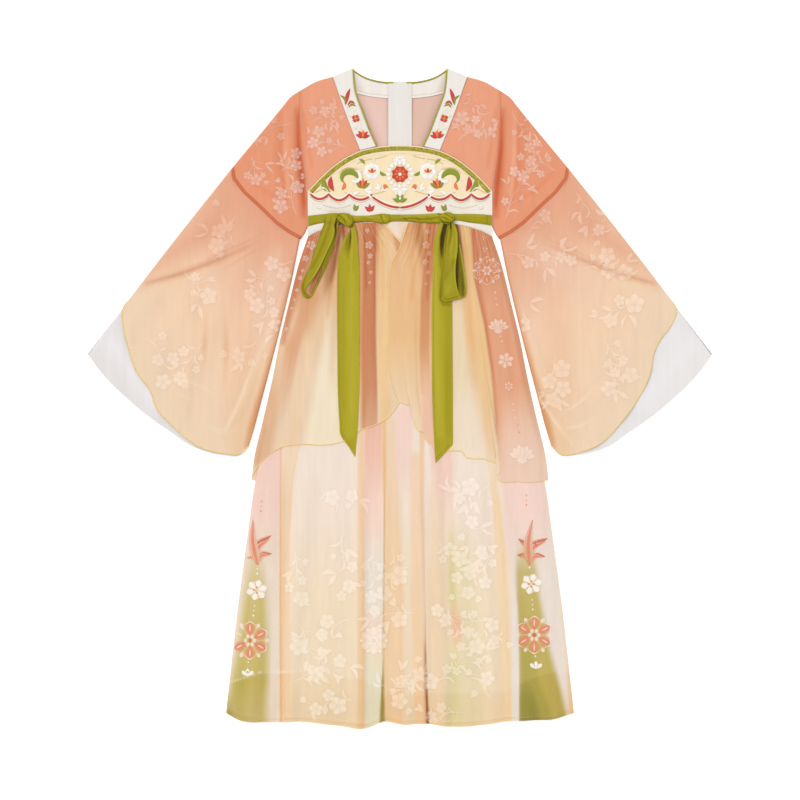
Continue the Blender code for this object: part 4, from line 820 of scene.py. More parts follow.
class Cloth:
    """The upper face of a laid cloth: rows of plan points with a height and a colour each."""

    def __init__(self, plan, height, colour):
        self.plan = np.array(plan, float)
        self.height = np.array(np.broadcast_to(height, self.plan.shape[:-1]), float)
        colour = paint(colour) if isinstance(colour, str) else colour
        self.colour = np.array(np.broadcast_to(colour, self.plan.shape[:-1] + (3,)), float)

    # Colours the cloth along routes: dyes and print, and in places painted shade and painted highlights.
    def dye(self, tone_rows):
        for code, soft, route in tone_rows:
            distance, columns = beside(self.plan, route)
            mask = smooth((columns[..., 0] + soft - np.abs(distance)) / (2 * soft)) * columns[..., 1]
            self.tint(code, mask)

    def tint(self, code, share):
        self.colour += (paint(code) - self.colour) * share[..., None]

    def deepen(self, share):
        self.colour **= 1 + share[..., None]

    def crease(self, creases, share=1):
        """Adds troughs and ridges, and deepens the colour with them: the denser colour of cloth crowded into
        a fold, painted shade in the troughs, and a painted highlight on ridges where the deepening is below
        0.
        """
        for rise, deepen, lean, route in creases:
            distance, columns = beside(self.plan, route)
            half_width, along = columns[..., 0], columns[..., 1]
            steep = 1 - 0.75 * np.clip(lean * np.sign(distance), 0, 1)
            wide = 1 + 0.5 * np.abs(lean) * (np.sign(distance) * lean < 0)
            fold = rounded(distance / (half_width * steep * wide))
            fold *= smooth(along / 0.12) * smooth((1 - along) / 0.12)
            self.height += rise * fold * share
            self.deepen(deepen * fold)

    def ripple(self, seed, length, rise, share=1):
        """Adds the slight unevenness of cloth that has been laid down by hand."""
        draw = np.random.default_rng(seed)
        x, y = self.plan[..., 0], self.plan[..., 1]
        for _ in range(7):
            heading = draw.uniform(-0.5, 0.5)
            waves = 2 * np.pi / (length * draw.uniform(0.6, 1.8))
            phase = draw.uniform(0, 2 * np.pi)
            drift = 0.4 * np.sin(y * waves * 0.35 + phase)
            reach = x * np.cos(heading) + y * np.sin(heading) * 0.35
            self.height += share * rise * np.sin(reach * waves + phase + drift) / 2.6

    def tuck(self, cover, room):
        """Keeps the cloth below another one that covers it."""
        heights, _ = cover.at(self.plan)
        below = np.where(cover.lost.reshape(heights.shape), np.inf, heights - room)
        self.height = np.minimum(self.height, below)

    def points(self):
        return np.concatenate([self.plan, self.height[..., None]], axis=-1)

    def faces(self):
        return grid_faces(*self.height.shape)


def grid_faces(rows, columns, closed=False):
    """Quads over a grid of rows and columns. closed joins the last column to the first."""
    row, column = np.meshgrid(np.arange(rows - 1), np.arange(columns - (not closed)), indexing="ij")
    near, next_ = row * columns + column, row * columns + (column + 1) % columns
    return np.stack((near, next_, next_ + columns, near + columns), axis=-1).reshape(-1, 4)


def make_mesh(name, points, faces, colours, grain, finish, sharp=None):
    """An object from points in millimetres, quads, a colour for each point and its place in the weave."""
    mesh = bpy.data.meshes.new(name)
    points = np.reshape(points, (-1, 3)) * MM
    faces = np.asarray(faces, np.int32)
    mesh.vertices.add(len(points))
    mesh.vertices.foreach_set("co", points.astype(np.float32).ravel())
    mesh.loops.add(faces.size)
    mesh.loops.foreach_set("vertex_index", faces.ravel())
    mesh.polygons.add(len(faces))
    mesh.polygons.foreach_set("loop_start", np.arange(len(faces), dtype=np.int32) * faces.shape[1])
    mesh.update(calc_edges=True)
    tint = mesh.attributes.new("dye", "FLOAT_COLOR", "POINT")
    rgba = np.ones((len(points), 4), np.float32)
    rgba[:, :3] = np.clip(np.reshape(colours, (-1, 3)), 0, 1)
    tint.data.foreach_set("color", rgba.ravel())
    uv = mesh.uv_layers.new(name="grain")
    grain = np.reshape(grain, (-1, 2)).astype(np.float32)
    uv.data.foreach_set("uv", grain[faces.ravel()].ravel())
    mesh.materials.append(finish)
    mesh.shade_smooth()
    if sharp:
        mesh.set_sharp_from_angle(angle=np.radians(sharp))
    piece = bpy.data.objects.new(name, mesh)
    bpy.context.scene.collection.objects.link(piece)
    return piece


def dress(piece, slot, *nodes):
    """Fixes a piece to the dress and hides the solids that it stands for."""
    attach(piece, "root")
    if nodes:
        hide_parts(*nodes)
    return piece


def declare_sheets():
    rows = [[fact.replace("SIDE", side) if isinstance(fact, str) else fact for fact in row]
            for side, _ in SIDES for row in SIDE_SHEETS]
    for name, held, rests_on, layers, fullness, *on in rows + list(MIDDLE_SHEETS):
        plan = CUT[name].plan * MM
        first, second = plan[1:, 1:] - plan[:-1, :-1], plan[1:, :-1] - plan[:-1, 1:]
        area = 0.5 * np.abs(first[..., 0] * second[..., 1] - first[..., 1] * second[..., 0]).sum()
        wide, long_ = np.ptp(plan.reshape(-1, 2), axis=0)
        if area < 0.35 * wide * long_:  # a slanting piece, narrower than its box
            wide = area / long_ / 0.9


def make_sheet(name, cloth, finish, slot, *nodes):
    """A single sheet, for gathered chiffon."""
    CUT[name] = cloth
    piece = make_mesh(name, cloth.points(), cloth.faces(), cloth.colour, cloth.plan, finish)
    return dress(piece, slot, *nodes)


def make_shell(name, cloth, finish, slot, *nodes, wall=CLOTH):
    """A thin closed shell under the upper face of a cloth."""
    CUT[name] = cloth
    numbers = np.arange(cloth.height.size).reshape(cloth.height.shape)
    edge = np.concatenate([numbers[0], numbers[1:, -1], numbers[-1, -2::-1], numbers[-2::-1, 0]])
    under = edge + numbers.size
    rim = np.stack([under[:-1], under[1:], edge[1:], edge[:-1]], axis=-1)
    faces = np.concatenate([cloth.faces(), cloth.faces()[:, ::-1] + numbers.size, rim])
    points = (cloth.points(), cloth.points() - (0, 0, wall))
    piece = make_mesh(name, points, faces, [cloth.colour] * 2, [cloth.plan] * 2, finish, sharp=60)
    return dress(piece, slot, *nodes)


def make_tube(name, cloth, finish, slot, *nodes, under=0.05, step=6, radius=FOLD_RADIUS):
    """A flattened tube of one layer: its upper face is rounded off at both folds and goes on under."""
    CUT[name] = cloth
    rows, columns = cloth.height.shape
    turned = np.sqrt(np.clip(1 - (1 - np.clip(side_distance(cloth.plan) / radius, 0, 1)) ** 2, 0, 1))
    middle = (cloth.height + under) / 2
    cloth.height = middle + (cloth.height - middle) * turned
    below = list(range(columns - 1 - step, 0, -step))
    low = np.concatenate([cloth.plan[:, below], np.full((rows, len(below), 1), under)], axis=2)
    ring = np.concatenate([cloth.points(), low], axis=1)
    colours, grain = (np.concatenate([of, of[:, below]], axis=1) for of in (cloth.colour, cloth.plan))
    piece = make_mesh(name, ring, grid_faces(*ring.shape[:2], closed=True), colours, grain, finish)
    return dress(piece, slot, *nodes)


def make_thread(name, routes, radius, code, finish, slot, sides=6, *nodes):
    """Round threads or cords along lists of points, joined in one piece."""
    points, grain, faces, count = [], [], [], 0
    turns = np.arange(sides) / sides * 2 * np.pi
    for route in routes:
        route = np.asarray(route, float)
        ahead = ahead_of(route)
        across = np.cross(ahead, (0, 0, 1))
        across /= np.linalg.norm(across, axis=1)[:, None] + 1e-9
        above = np.cross(across, ahead)
        ring = [route + radius * (np.cos(turn) * across + np.sin(turn) * above) for turn in turns]
        points.append(np.stack(ring, axis=1).reshape(-1, 3))
        cells = np.broadcast_arrays(run(route)[:, None], turns * radius)
        grain.append(np.stack(cells, axis=-1).reshape(-1, 2))
        faces.append(grid_faces(len(route), sides, closed=True) + count)
        count += len(route) * sides
    points = np.concatenate(points)
    colours = np.broadcast_to(paint(code), points.shape)
    piece = make_mesh(name, points, np.concatenate(faces), colours, np.concatenate(grain), finish)
    return dress(piece, slot, *nodes)


class Surface:
    """What strokes and ribbons are laid on: the upper faces of some cloths."""

    def __init__(self, *cloths):
        self.cloths = cloths
        starts = np.cumsum([0] + [cloth.height.size for cloth in cloths])
        self.faces = np.concatenate([cloth.faces() + start for cloth, start in zip(cloths, starts)])
        self.colours = np.concatenate([cloth.colour.reshape(-1, 3) for cloth in cloths])
        points = np.concatenate([cloth.points().reshape(-1, 3) for cloth in cloths])
        self.tree = BVHTree.FromPolygons([Vector(point) for point in points], self.faces.tolist())

    def at(self, places):
        """Height and colour of the cloth at plan places."""
        places = np.asarray(places, float)
        heights = np.full(places.size // 2, np.nan)
        colours = np.full((len(heights), 3), np.nan)
        for k, (x, y) in enumerate(places.reshape(-1, 2)):
            found, _, face, _ = self.tree.ray_cast(Vector((x, y, ABOVE_ALL)), Vector((0, 0, -1)))
            if found is not None:
                heights[k] = found.z
                colours[k] = self.colours[self.faces[face]].mean(axis=0)
        self.lost = lost = np.isnan(heights)
        heights[lost] = 0 if lost.all() else np.nanmean(heights)
        colours[lost] = 0.5 if lost.all() else np.nanmean(colours[~lost], axis=0)
        return heights.reshape(places.shape[:-1]), colours.reshape(places.shape[:-1] + (3,))


# Width of a stroke at a share of its length.
SHAPES = {
    "line": lambda t: np.minimum(1, 0.35 + 9 * np.minimum(t, 1 - t)),
    "leaf": lambda t: np.sin(np.pi * np.clip(t, 0.01, 0.99)) ** 0.85,
    "petal": lambda t: np.sin(np.pi * np.clip(t, 0.02, 0.985) ** 1.5) ** 0.7,
    "bud": lambda t: np.sin(np.pi * np.clip(t, 0.02, 0.985) ** 0.65) ** 0.8,
    "round": lambda t: np.sqrt(np.clip(1 - (2 * t - 1) ** 2, 0.01, 1)),
    "thorn": lambda t: np.clip(1 - t, 0.03, 1) ** 0.8 * np.minimum(1, 0.3 + 6 * t),
}


class Drawing:
    """Strokes of thread or print on a surface, gathered in one piece.

    up puts a stroke so many layers over those that it crosses.
    """

    def __init__(self, surface, pad=0, columns=5, printed=False):
        self.surface = surface
        self.pad = pad
        self.across = np.linspace(-1, 1, columns)
        self.printed = printed  # a print has soft edges, and ends where the cloth does
        self.flowers = []  # places and sizes of the flowers drawn so far, which others keep clear of
        self.places, self.codes, self.pads, self.grain, self.sizes = [], [], [], [], []

    def stroke(self, route, width, code, shape="line", detail=None, pad=None, up=0):
        """A stroke along a route. code is a colour, or a share of the way to the print's white."""
        route = np.asarray(route, float)
        length = steps(route).sum()
        count = detail or int(np.clip(length / 2.5, 5, 60))
        share = even(count)
        middle = curve(route)(share)
        half = SHAPES[shape](share) * width / 2
        grid = middle[:, None] + right_of(middle)[:, None] * half[:, None, None] * self.across[:, None]
        self.places.append(grid.reshape(-1, 2))
        dome = np.sqrt(np.clip(1 - self.across**2, 0, 1)) * np.ones((count, 1))
        ends = np.minimum(1, 4 * half / max(width, 1e-6))[:, None]
        high = (self.pad if pad is None else pad) * min(1, 0.35 + width / 6)
        raised = dome * ends * high - 0.15 * (1 - dome) * (high > 0) + LAYER_RISE * up
        self.pads.append(raised.ravel())
        cells = np.broadcast_arrays((share * length)[:, None], self.across * half[:, None])
        self.grain.append(np.stack(cells, axis=-1).reshape(-1, 2))
        self.codes.append(code)
        self.sizes.append(count)

    def petal(self, place, angle, length, width, code, shape="petal", bend=0, gap=0, pad=None, up=0):
        """A petal or leaf that grows from a place at an angle in degrees."""
        ahead = towards(angle)
        left = np.array((-ahead[1], ahead[0]))
        place = np.asarray(place, float) + ahead * gap
        route = (place, place + ahead * length * 0.5 + left * bend * length, place + ahead * length)
        self.stroke(route, width, code, shape, 9, pad, up)

    def dot(self, place, size, code, pad=None, up=0):
        x, y = place
        self.stroke(((x, y - size / 2), (x, y), (x, y + size / 2)), size, code, "round", 7, pad, up)

    def bloom(self, place, size, code, heart=None, petals=5, turn=90, wide=0.62, gap=0.1, up=0):
        """An open flower of petals around a heart."""
        for k in range(petals):
            angle = turn + 360 * k / petals
            length, width = size * (0.5 - gap), size * wide * 2.6 / petals
            self.petal(place, angle, length, width, code, gap=size * gap, up=up)
        if heart is not None:
            self.dot(place, size * 0.2, heart, up=up + 1)

    def finish(self, name, finish, slot, white="#fffaf2"):
        places = np.concatenate(self.places)
        heights, colours = self.surface.at(places)
        start, faces, columns = 0, [], len(self.across)
        edges = smooth((1.15 - np.abs(self.across)) / 0.8) if self.printed else np.ones(columns)
        for k, (code, count) in enumerate(zip(self.codes, self.sizes)):
            stop = start + count * columns
            drawn = isinstance(code, str)
            share = np.tile(edges, count)[:, None] * (1 if drawn else code)
            colours[start:stop] += (paint(code if drawn else white) - colours[start:stop]) * share
            heights[start:stop] += 0.003 * (k % 60)
            if not (self.printed and self.surface.lost[start:stop].any()):
                faces.append(grid_faces(count, columns)[:, ::-1] + start)
            start = stop
        heights = heights + STROKE_LIFT + np.concatenate(self.pads)
        used, faces = np.unique(np.concatenate(faces), return_inverse=True)
        points = np.column_stack([places, heights])[used]
        grain = np.concatenate(self.grain)[used]
        return dress(make_mesh(name, points, faces.reshape(-1, 4), colours[used], grain, finish), slot)


def add_node(tree, kind, inputs=None, **settings):
    """Adds a shader node with its settings, and its inputs from values or from other nodes' outputs."""
    node = tree.nodes.new(kind)
    for key, value in settings.items():
        setattr(node, key, value)
    for key, value in (inputs or {}).items():
        if isinstance(value, bpy.types.NodeSocket):
            tree.links.new(value, node.inputs[key])
        else:
            node.inputs[key].default_value = value
    return node


def threaded(name, thread, relief, mottle=None, crepe=0, slant=0, **surface):
    """A finish of threads that lie thread millimetres apart, over each point's colour: its dye or print, and
    in places painted shade and painted highlights.

    relief is the depth of the threads in millimetres, mottle how much the dye of woven cloth varies
    (None for threads laid side by side, as in a stitch), crepe the depth of the slack crinkle between
    threads and slant the turn of the weave. The rest are sockets of the shader.
    """
    material = bpy.data.materials.new(name)
    material.use_nodes = True
    tree = material.node_tree
    shader = tree.nodes["Principled BSDF"]
    for socket, value in surface.items():
        shader.inputs[socket.replace("_", " ")].default_value = value
    place = add_node(tree, "ShaderNodeUVMap", uv_map="grain").outputs["UV"]
    turned = add_node(tree, "ShaderNodeMapping", {"Vector": place, "Rotation": (0, 0, slant)}).outputs[0]
    wave = {"Vector": turned, "Scale": WAVE_MM / thread, "Detail": 1, "Distortion": 0.8}
    if mottle is not None:
        wave.update({"Distortion": 1.2, "Detail Scale": 2})
    height = add_node(tree, "ShaderNodeTexWave", wave, bands_direction="X").outputs["Fac"]
    darkest = BETWEEN_STITCHES
    if mottle is not None:
        weft = add_node(tree, "ShaderNodeTexWave", wave, bands_direction="Y").outputs["Fac"]
        height = add_node(tree, "ShaderNodeMath", {0: height, 1: weft}, operation="MAXIMUM").outputs[0]
        darkest = 1 - 0.6 * mottle
    shade = add_node(tree, "ShaderNodeMapRange", {"Value": height, "To Min": darkest, "To Max": 1}).outputs[0]
    if mottle is not None:
        hang = add_node(tree, "ShaderNodeMapping", {"Vector": place, "Scale": (1, 0.12, 1)}).outputs[0]
        cloud = add_node(tree, "ShaderNodeTexNoise", {"Vector": hang, "Scale": 0.12, "Detail": 3})
        spread = {"Value": cloud.outputs["Fac"], "From Min": 0.3, "From Max": 0.7, "To Min": 1 - mottle}
        clouded = add_node(tree, "ShaderNodeMapRange", spread).outputs[0]
        shade = add_node(tree, "ShaderNodeMath", {0: clouded, 1: shade}, operation="MULTIPLY").outputs[0]
    tint = add_node(tree, "ShaderNodeAttribute", attribute_name="dye").outputs["Color"]
    colour = add_node(tree, "ShaderNodeVectorMath", {0: tint, "Scale": shade}, operation="SCALE")
    tree.links.new(colour.outputs[0], shader.inputs["Base Color"])
    strength = 0.7 if mottle is None else 0.5
    bump = add_node(tree, "ShaderNodeBump", {"Height": height, "Strength": strength, "Distance": relief * MM})
    if crepe:
        slub = add_node(tree, "ShaderNodeTexNoise", {"Vector": place, "Scale": 0.8, "Detail": 2})
        crinkle = {"Height": slub.outputs["Fac"], "Strength": 0.6, "Distance": crepe * MM}
        bump = add_node(tree, "ShaderNodeBump", {**crinkle, "Normal": bump.outputs[0]})
    tree.links.new(bump.outputs[0], shader.inputs["Normal"])
    return material


FINISH = {}


def make_finishes():
    """The cloths and threads of the dress."""
    # Polyester chiffon, plain woven from crepe yarn: matt, sheer, with a soft bloom at grazing light.
    # Its threads are about 0.15 mm apart, and are drawn four times as coarse so that they show.
    dry = dict(IOR=1.5, Specular_IOR_Level=0.2)
    chiffon = dict(thread=0.6, relief=0.06, mottle=0.05, crepe=0.12, Roughness=0.72, **dry)
    bloom = dict(Sheen_Weight=0.12, Sheen_Roughness=0.45)
    FINISH["coral"] = threaded("coral_chiffon", **chiffon, **bloom, Alpha=0.97)
    FINISH["dyed"] = threaded("dip_dyed_chiffon", **chiffon, **bloom, Alpha=0.88)
    FINISH["cream"] = threaded("cream_chiffon", **chiffon, **bloom, Alpha=0.86)
    # Cotton poplin: opaque and dry, with a visible slub.
    FINISH["cotton"] = threaded("white_cotton", 0.7, 0.08, 0.045, 0.1, Roughness=0.85, **dry)
    FINISH["lining"] = threaded("blush_lining", 0.5, 0.04, 0.03, 0.05, Roughness=0.7, **dry)
    # Satin ribbon, polyester: long floats give a soft shine across the threads.
    FINISH["satin"] = threaded(
        "olive_satin", 0.45, 0.03, 0.08, 0.1, 0.6, Roughness=0.5, IOR=1.5, Specular_IOR_Level=0.12,
    )
    # Satin stitch: rayon thread laid side by side, about 0.4 mm each, drawn at twice that.
    FINISH["stitch"] = threaded(
        "satin_stitch", 0.8, 0.18, slant=0.25, Roughness=0.42, IOR=1.5, Specular_IOR_Level=0.3,
    )
    # Overlocked hem: loops of yellow polyester thread wound round the edge.
    FINISH["hem"] = threaded("overlock_thread", 1.1, 0.2, slant=0.5, Roughness=0.55, **dry)
    # Twill piping: bias-cut cotton round a cord.
    FINISH["piping"] = threaded("bias_piping", 0.8, 0.1, slant=0.8, Roughness=0.6, **dry)
    # Discharge print: the dye is taken out of the chiffon, so only its colour changes.
    FINISH["print"] = threaded("pale_print", 0.6, 0.05, 0.03, 0.08, Roughness=0.75, **dry, Alpha=0.9)


def on_overskirt(plan):
    """Height that the back overskirt gives the skirt, down to 0 where that has reached the surface."""
    lowest = OVERSKIRT_BACK_Y - 5 - ON_OVERSKIRT
    return level(1) * smooth((plan[..., 1] - lowest) / ON_OVERSKIRT)


def stitches(drawing, route, pitch, length, width, code):
    """A row of running stitches along a route."""
    path = curve(route)
    total = steps(path(even(60))).sum()
    for k in range(int(total / pitch)):
        ends = path(np.array([k * pitch, k * pitch + length]) / total)
        drawing.stroke(ends, width, code, "line", 4, 0.25)


def make_bodice_back():
    """The lining of the back, that shows inside the neck."""
    middle = ((-SEAM / 2, WAIST_Y), (-SEAM / 2, BACK_NECK_Y))
    shoulder = SHOULDER_SEAM[:-1] + ((-112, 526.8), (-95, 532.8), (-80, 538.6)) + BACK_NECK[1:-1] + middle[1:]
    plan = patch(WAIST[:1] + ARMHOLE, middle, WAIST[:-1] + middle[:1], shoulder, even(50), even(70))
    # Painted shade on the lining beside the collar, and a line of it beside the zip guard's edge.
    shade_by_collar_and_guard = (
        ("#caa59b", 9, ((-67, 496, 5, 0.4), (-59, 462, 8, 0.8), (-43, 416, 8, 0.9))),
        ("#d6ab9f", 1.2, ((-21, 494, 0.8, 0.7), (-21, 412, 0.8, 0.7))),
    )
    for (side, turn), code in zip(SIDES, ("#e2c0b3", "#dcb7a6")):
        cloth = Cloth(plan * (turn, 1), WALL, code)
        cloth.dye(for_side(turn, shade_by_collar_and_guard))
        make_shell(
            f"back_lining_{side}", cloth, FINISH["lining"], "blush_lining", f"bodice_back_{side}",
            wall=FIRST_WALL,
        )


def make_piping(name, side, turn, edge, height):
    """A green cord along an edge of the neck."""
    route = np.column_stack([edge, height]) * (turn, 1, 1)
    make_thread(
        f"{name}_cord_{side}", [route], PIPING_R, "#aca632", FINISH["piping"], "green_satin", 10,
        f"{name}_piping_{side}",
    )


def make_neck():
    """Facing and zip guard inside the back, the collar bands and the green piping."""
    top = both_halves(shifted(BACK_NECK, 0, -PIPING_ROOM))
    left = (FACING_LOW[0], top[0])
    plan = patch(left, mirrored(left), both_halves(FACING_LOW), top, even(120), even(22))
    facing = Cloth(plan, level(1) + WALL, "#ebe3db")
    facing.ripple(3, 40, 0.15)
    # Painted shade beside the collar, and a painted shadow line over a painted highlight along the facing's
    # lower fold.
    facing_shade_and_highlight = (
        ("#cdb9af", 8, ((-78, 530, 4, 0.8), (-72, 512, 6, 0.7), (-66, 496, 6, 0.7))),
        ("#cfc1b7", 0.8, ((-76, 505.6, 0.6, 0.8), (-50, 499.8, 0.6, 0.8), (-19, 496.6, 0.6, 0.8))),
        ("#f1ebe3", 0.8, ((-76, 503.4, 0.9, 0.9), (-50, 497.8, 0.9, 0.9), (-19, 494.6, 0.9, 0.9))),
    )

    left = tuple((-ZIP_GUARD_WIDTH / 2, y) for y in ZIP_GUARD_Y)
    right = mirrored(left)
    plan = patch(left, right, *zip(left, right), even(26), even(80))
    below_facing = smooth((FACING_LOW[-1][1] - 2 - plan[..., 1]) / 70)
    guard = Cloth(plan, level(2) - level(1) * below_facing + WALL, "#e5e0da")
    guard.crease((
        (-0.25, 0.06, 0, ((-14, 330, 1.2), (-14, 519, 1.2))),
        (-0.25, 0.06, 0, ((15, 330, 1.2), (15, 519, 1.2))),
        (0.3, 0, 0, ((0, 330, 7), (1, 519, 7))),
    ))
    for _, turn in SIDES:
        facing.dye(for_side(turn, facing_shade_and_highlight))
        # Painted shade along the guard's edges.
        guard.dye(for_side(turn, [("#cabdb2", 0.6, ((-18.9, 331, 0.5, 0.8), (-18.9, 519, 0.5, 0.8)))]))
    make_shell("neck_facing", facing, FINISH["cotton"], "white_cotton", "back_neck_facing")
    make_shell("zip_guard_cloth", guard, FINISH["cotton"], "white_cotton", "zip_guard")

    outer, inner = shifted(COLLAR_OUTER, SEAM, SEAM), shifted(COLLAR_INNER, 0, SEAM)
    plan = patch(outer, inner, (outer[0], inner[0]), (outer[-1], inner[-1]), even(26), even(90))
    collar_edge = offset(curve(COLLAR_INNER)(even(60)), PIPING_R + SEAM)
    neck_edge = curve(BACK_NECK)(np.linspace(0.03, 0.87, 40)) - (0, PIPING_R)
    over_guard = level(1) + PIPING_R + 1.1 * smooth((neck_edge[:, 0] + 25) / 5)
    collars = []
    for side, turn in SIDES:
        collar = Cloth(plan * (turn, 1), level(2) + WALL, "#e9e4dd")
        collar.ripple(5 + turn, 34, 0.2)
        collar.crease(for_side(turn, [(-0.5, 0.1, 0, [(x, y, 3) for x, y in COLLAR_INNER])]))
        make_shell(f"collar_band_{side}", collar, FINISH["cotton"], "white_cotton", f"collar_{side}")
        make_piping("collar", side, turn, collar_edge, np.full(60, level(2) + PIPING_R))
        make_piping("back_neck", side, turn, neck_edge, over_guard)
        collars.append(collar)
    return collars


def make_fronts():
    """The coral shoulders between collar and armhole."""
    arch = ARCH[:5]
    armhole = arch[:1] + ARMHOLE[3:]
    plan = patch(armhole, COLLAR_OUTER, shifted(arch, 0, SEAM), SHOULDER_SEAM, even(60), even(80))
    cloths = {}
    for side, turn in SIDES:
        cloths[side] = cloth = Cloth(plan * (turn, 1), level(1) + WALL, "#e79e7d")
        cloth.dye(for_side(turn, [("#d98560", 5, [(x, y, 3, 0.8) for x, y in ARMHOLE[2:]])]))
        cloth.ripple(11 + turn, 45, 0.35)
        cloth.crease(for_side(turn, FRONT_CREASES))
        make_shell(f"shoulder_{side}", cloth, FINISH["coral"], "coral_chiffon", f"front_{side}")
    return cloths


def chest_height(plan):
    """Underside of the chest panel: low at the side seams, and up to the skirt's layers at the waist."""
    inward = HALF_CHEST - np.abs(plan[..., 0])
    upper = level(1) + level(1) * smooth(inward / 80)
    at_waist = level(2) + level(2) * smooth(inward / 40)
    return upper + (at_waist - upper) * smooth((WAIST_Y + 30 - plan[..., 1]) / 40)


# Lower edge of the cream field on the chest: half of its scallops, as x of their ends and lowest y.
SCALLOPS = ((0, 46, 329, 311), (46, 84, 333, 324), (84, 117, 333, 323), (117, 148, 334, 325))


def scallop_line(x):
    """Height of the scalloped edge at distances x from the middle."""
    x = np.abs(x)
    y = np.full(x.shape, SCALLOPS[-1][2], float)
    for start, end, joint, lowest in SCALLOPS:
        t = (x - start) / (end - start)
        if start == 0:  # the middle one is drawn from its lowest point
            t = 0.5 + t / 2
        y = np.where((x >= start) & (x <= end), joint + (lowest - joint) * 4 * t * (1 - t), y)
    return y


def make_chest():
    """The arched chest panel with its cream field and its green stitched band."""
    arch = shifted(both_halves(ARCH), 0, -SEAM)
    waist = shifted(both_halves(WAIST), 0, SEAM)
    left = (waist[0], (-HALF_CHEST, 300), arch[0])
    plan = patch(left, mirrored(left), waist, arch, even(200), even(84))
    cloth = Cloth(plan, chest_height(plan) + WALL, "#ebe3d8")
    # Painted shade on the chest in the gap beside the left knot.
    cloth.dye((
        ("#5f4a26", 1.6, ((-107, 288, 3, 0.9), (-100, 286, 4, 0.95), (-93, 284, 3, 0.9))),
        ("#a89f92", 4, ((-110, 288, 2, 0.5), (-120, 282, 2, 0.3), (-124, 276, 1, 0))),
    ))
    field = plan[..., 1] > scallop_line(plan[..., 0])
    cloth.colour[field] = paint("#f2deb9")
    cloth.height[field] += FIELD_RISE
    cloth.ripple(21, 50, 0.25)
    rim = curve(both_halves(ARCH))
    cloth.crease([(-0.6, 0.03, 0, [(x, y, 3) for x, y in rim(even(25))])])
    make_shell("chest_cloth", cloth, FINISH["cotton"], "white_cotton", "chest_panel")

    outer = rim(np.linspace(0.005, 0.995, 330))
    share = even(9)
    plan = np.stack([offset(outer, BORDER_INSET + BORDER_WIDTH * s) for s in share[::-1]])
    heights, _ = Surface(cloth).at(plan)
    dome = 0.9 * np.sqrt(np.clip(1 - (2 * share - 1) ** 2, 0, 1))[:, None]
    border = Cloth(plan, heights + 0.15 + dome, "#a59a2c")
    knots = np.random.default_rng(8).standard_normal((9, 110)).repeat(3, axis=1)
    border.height += 0.15 * knots * (dome > 0.3)
    border.colour *= np.clip(1 + 0.28 * knots, 0.45, 1.6)[..., None]
    grain = np.stack(np.broadcast_arrays(run(outer), share[:, None] * BORDER_WIDTH), axis=-1)
    piece = make_mesh("arch_band", border.points(), border.faces(), border.colour, grain, FINISH["stitch"])
    dress(piece, "green_stitching", "chest_border")
    return cloth


RED, ORANGE, LEAF, GOLD, PEARL, SAND = "#cf4436", "#ec8440", "#8f9a2b", "#dcc07a", "#fbf7f1", "#f5ead0"


def curl(work, middle, size, start, sweep, width, code, edge, up=0):
    """A padded scroll that winds inwards from an angle in degrees, with a line of thread outside it."""
    around = towards(start + sweep * even(16)).T
    reach = size * (1 - 0.75 * even(16))[:, None]
    work.stroke(middle + reach * around, width, code, "leaf", 30, up=up)
    work.stroke((middle + (reach + 0.62 * width) * around)[:11], 1, edge, "line", 30, up=up)


def fan(work, place, angle, size, codes, spread=34, shape="petal", up=0):
    """Petals side by side that open from one place, outermost first."""
    middle = (len(codes) - 1) / 2
    for over, k in enumerate(sorted(range(len(codes)), key=lambda k: -abs(k - middle))):
        work.petal(place, angle + spread * (k - middle), size, size * 0.52, codes[k], shape, up=up + over)


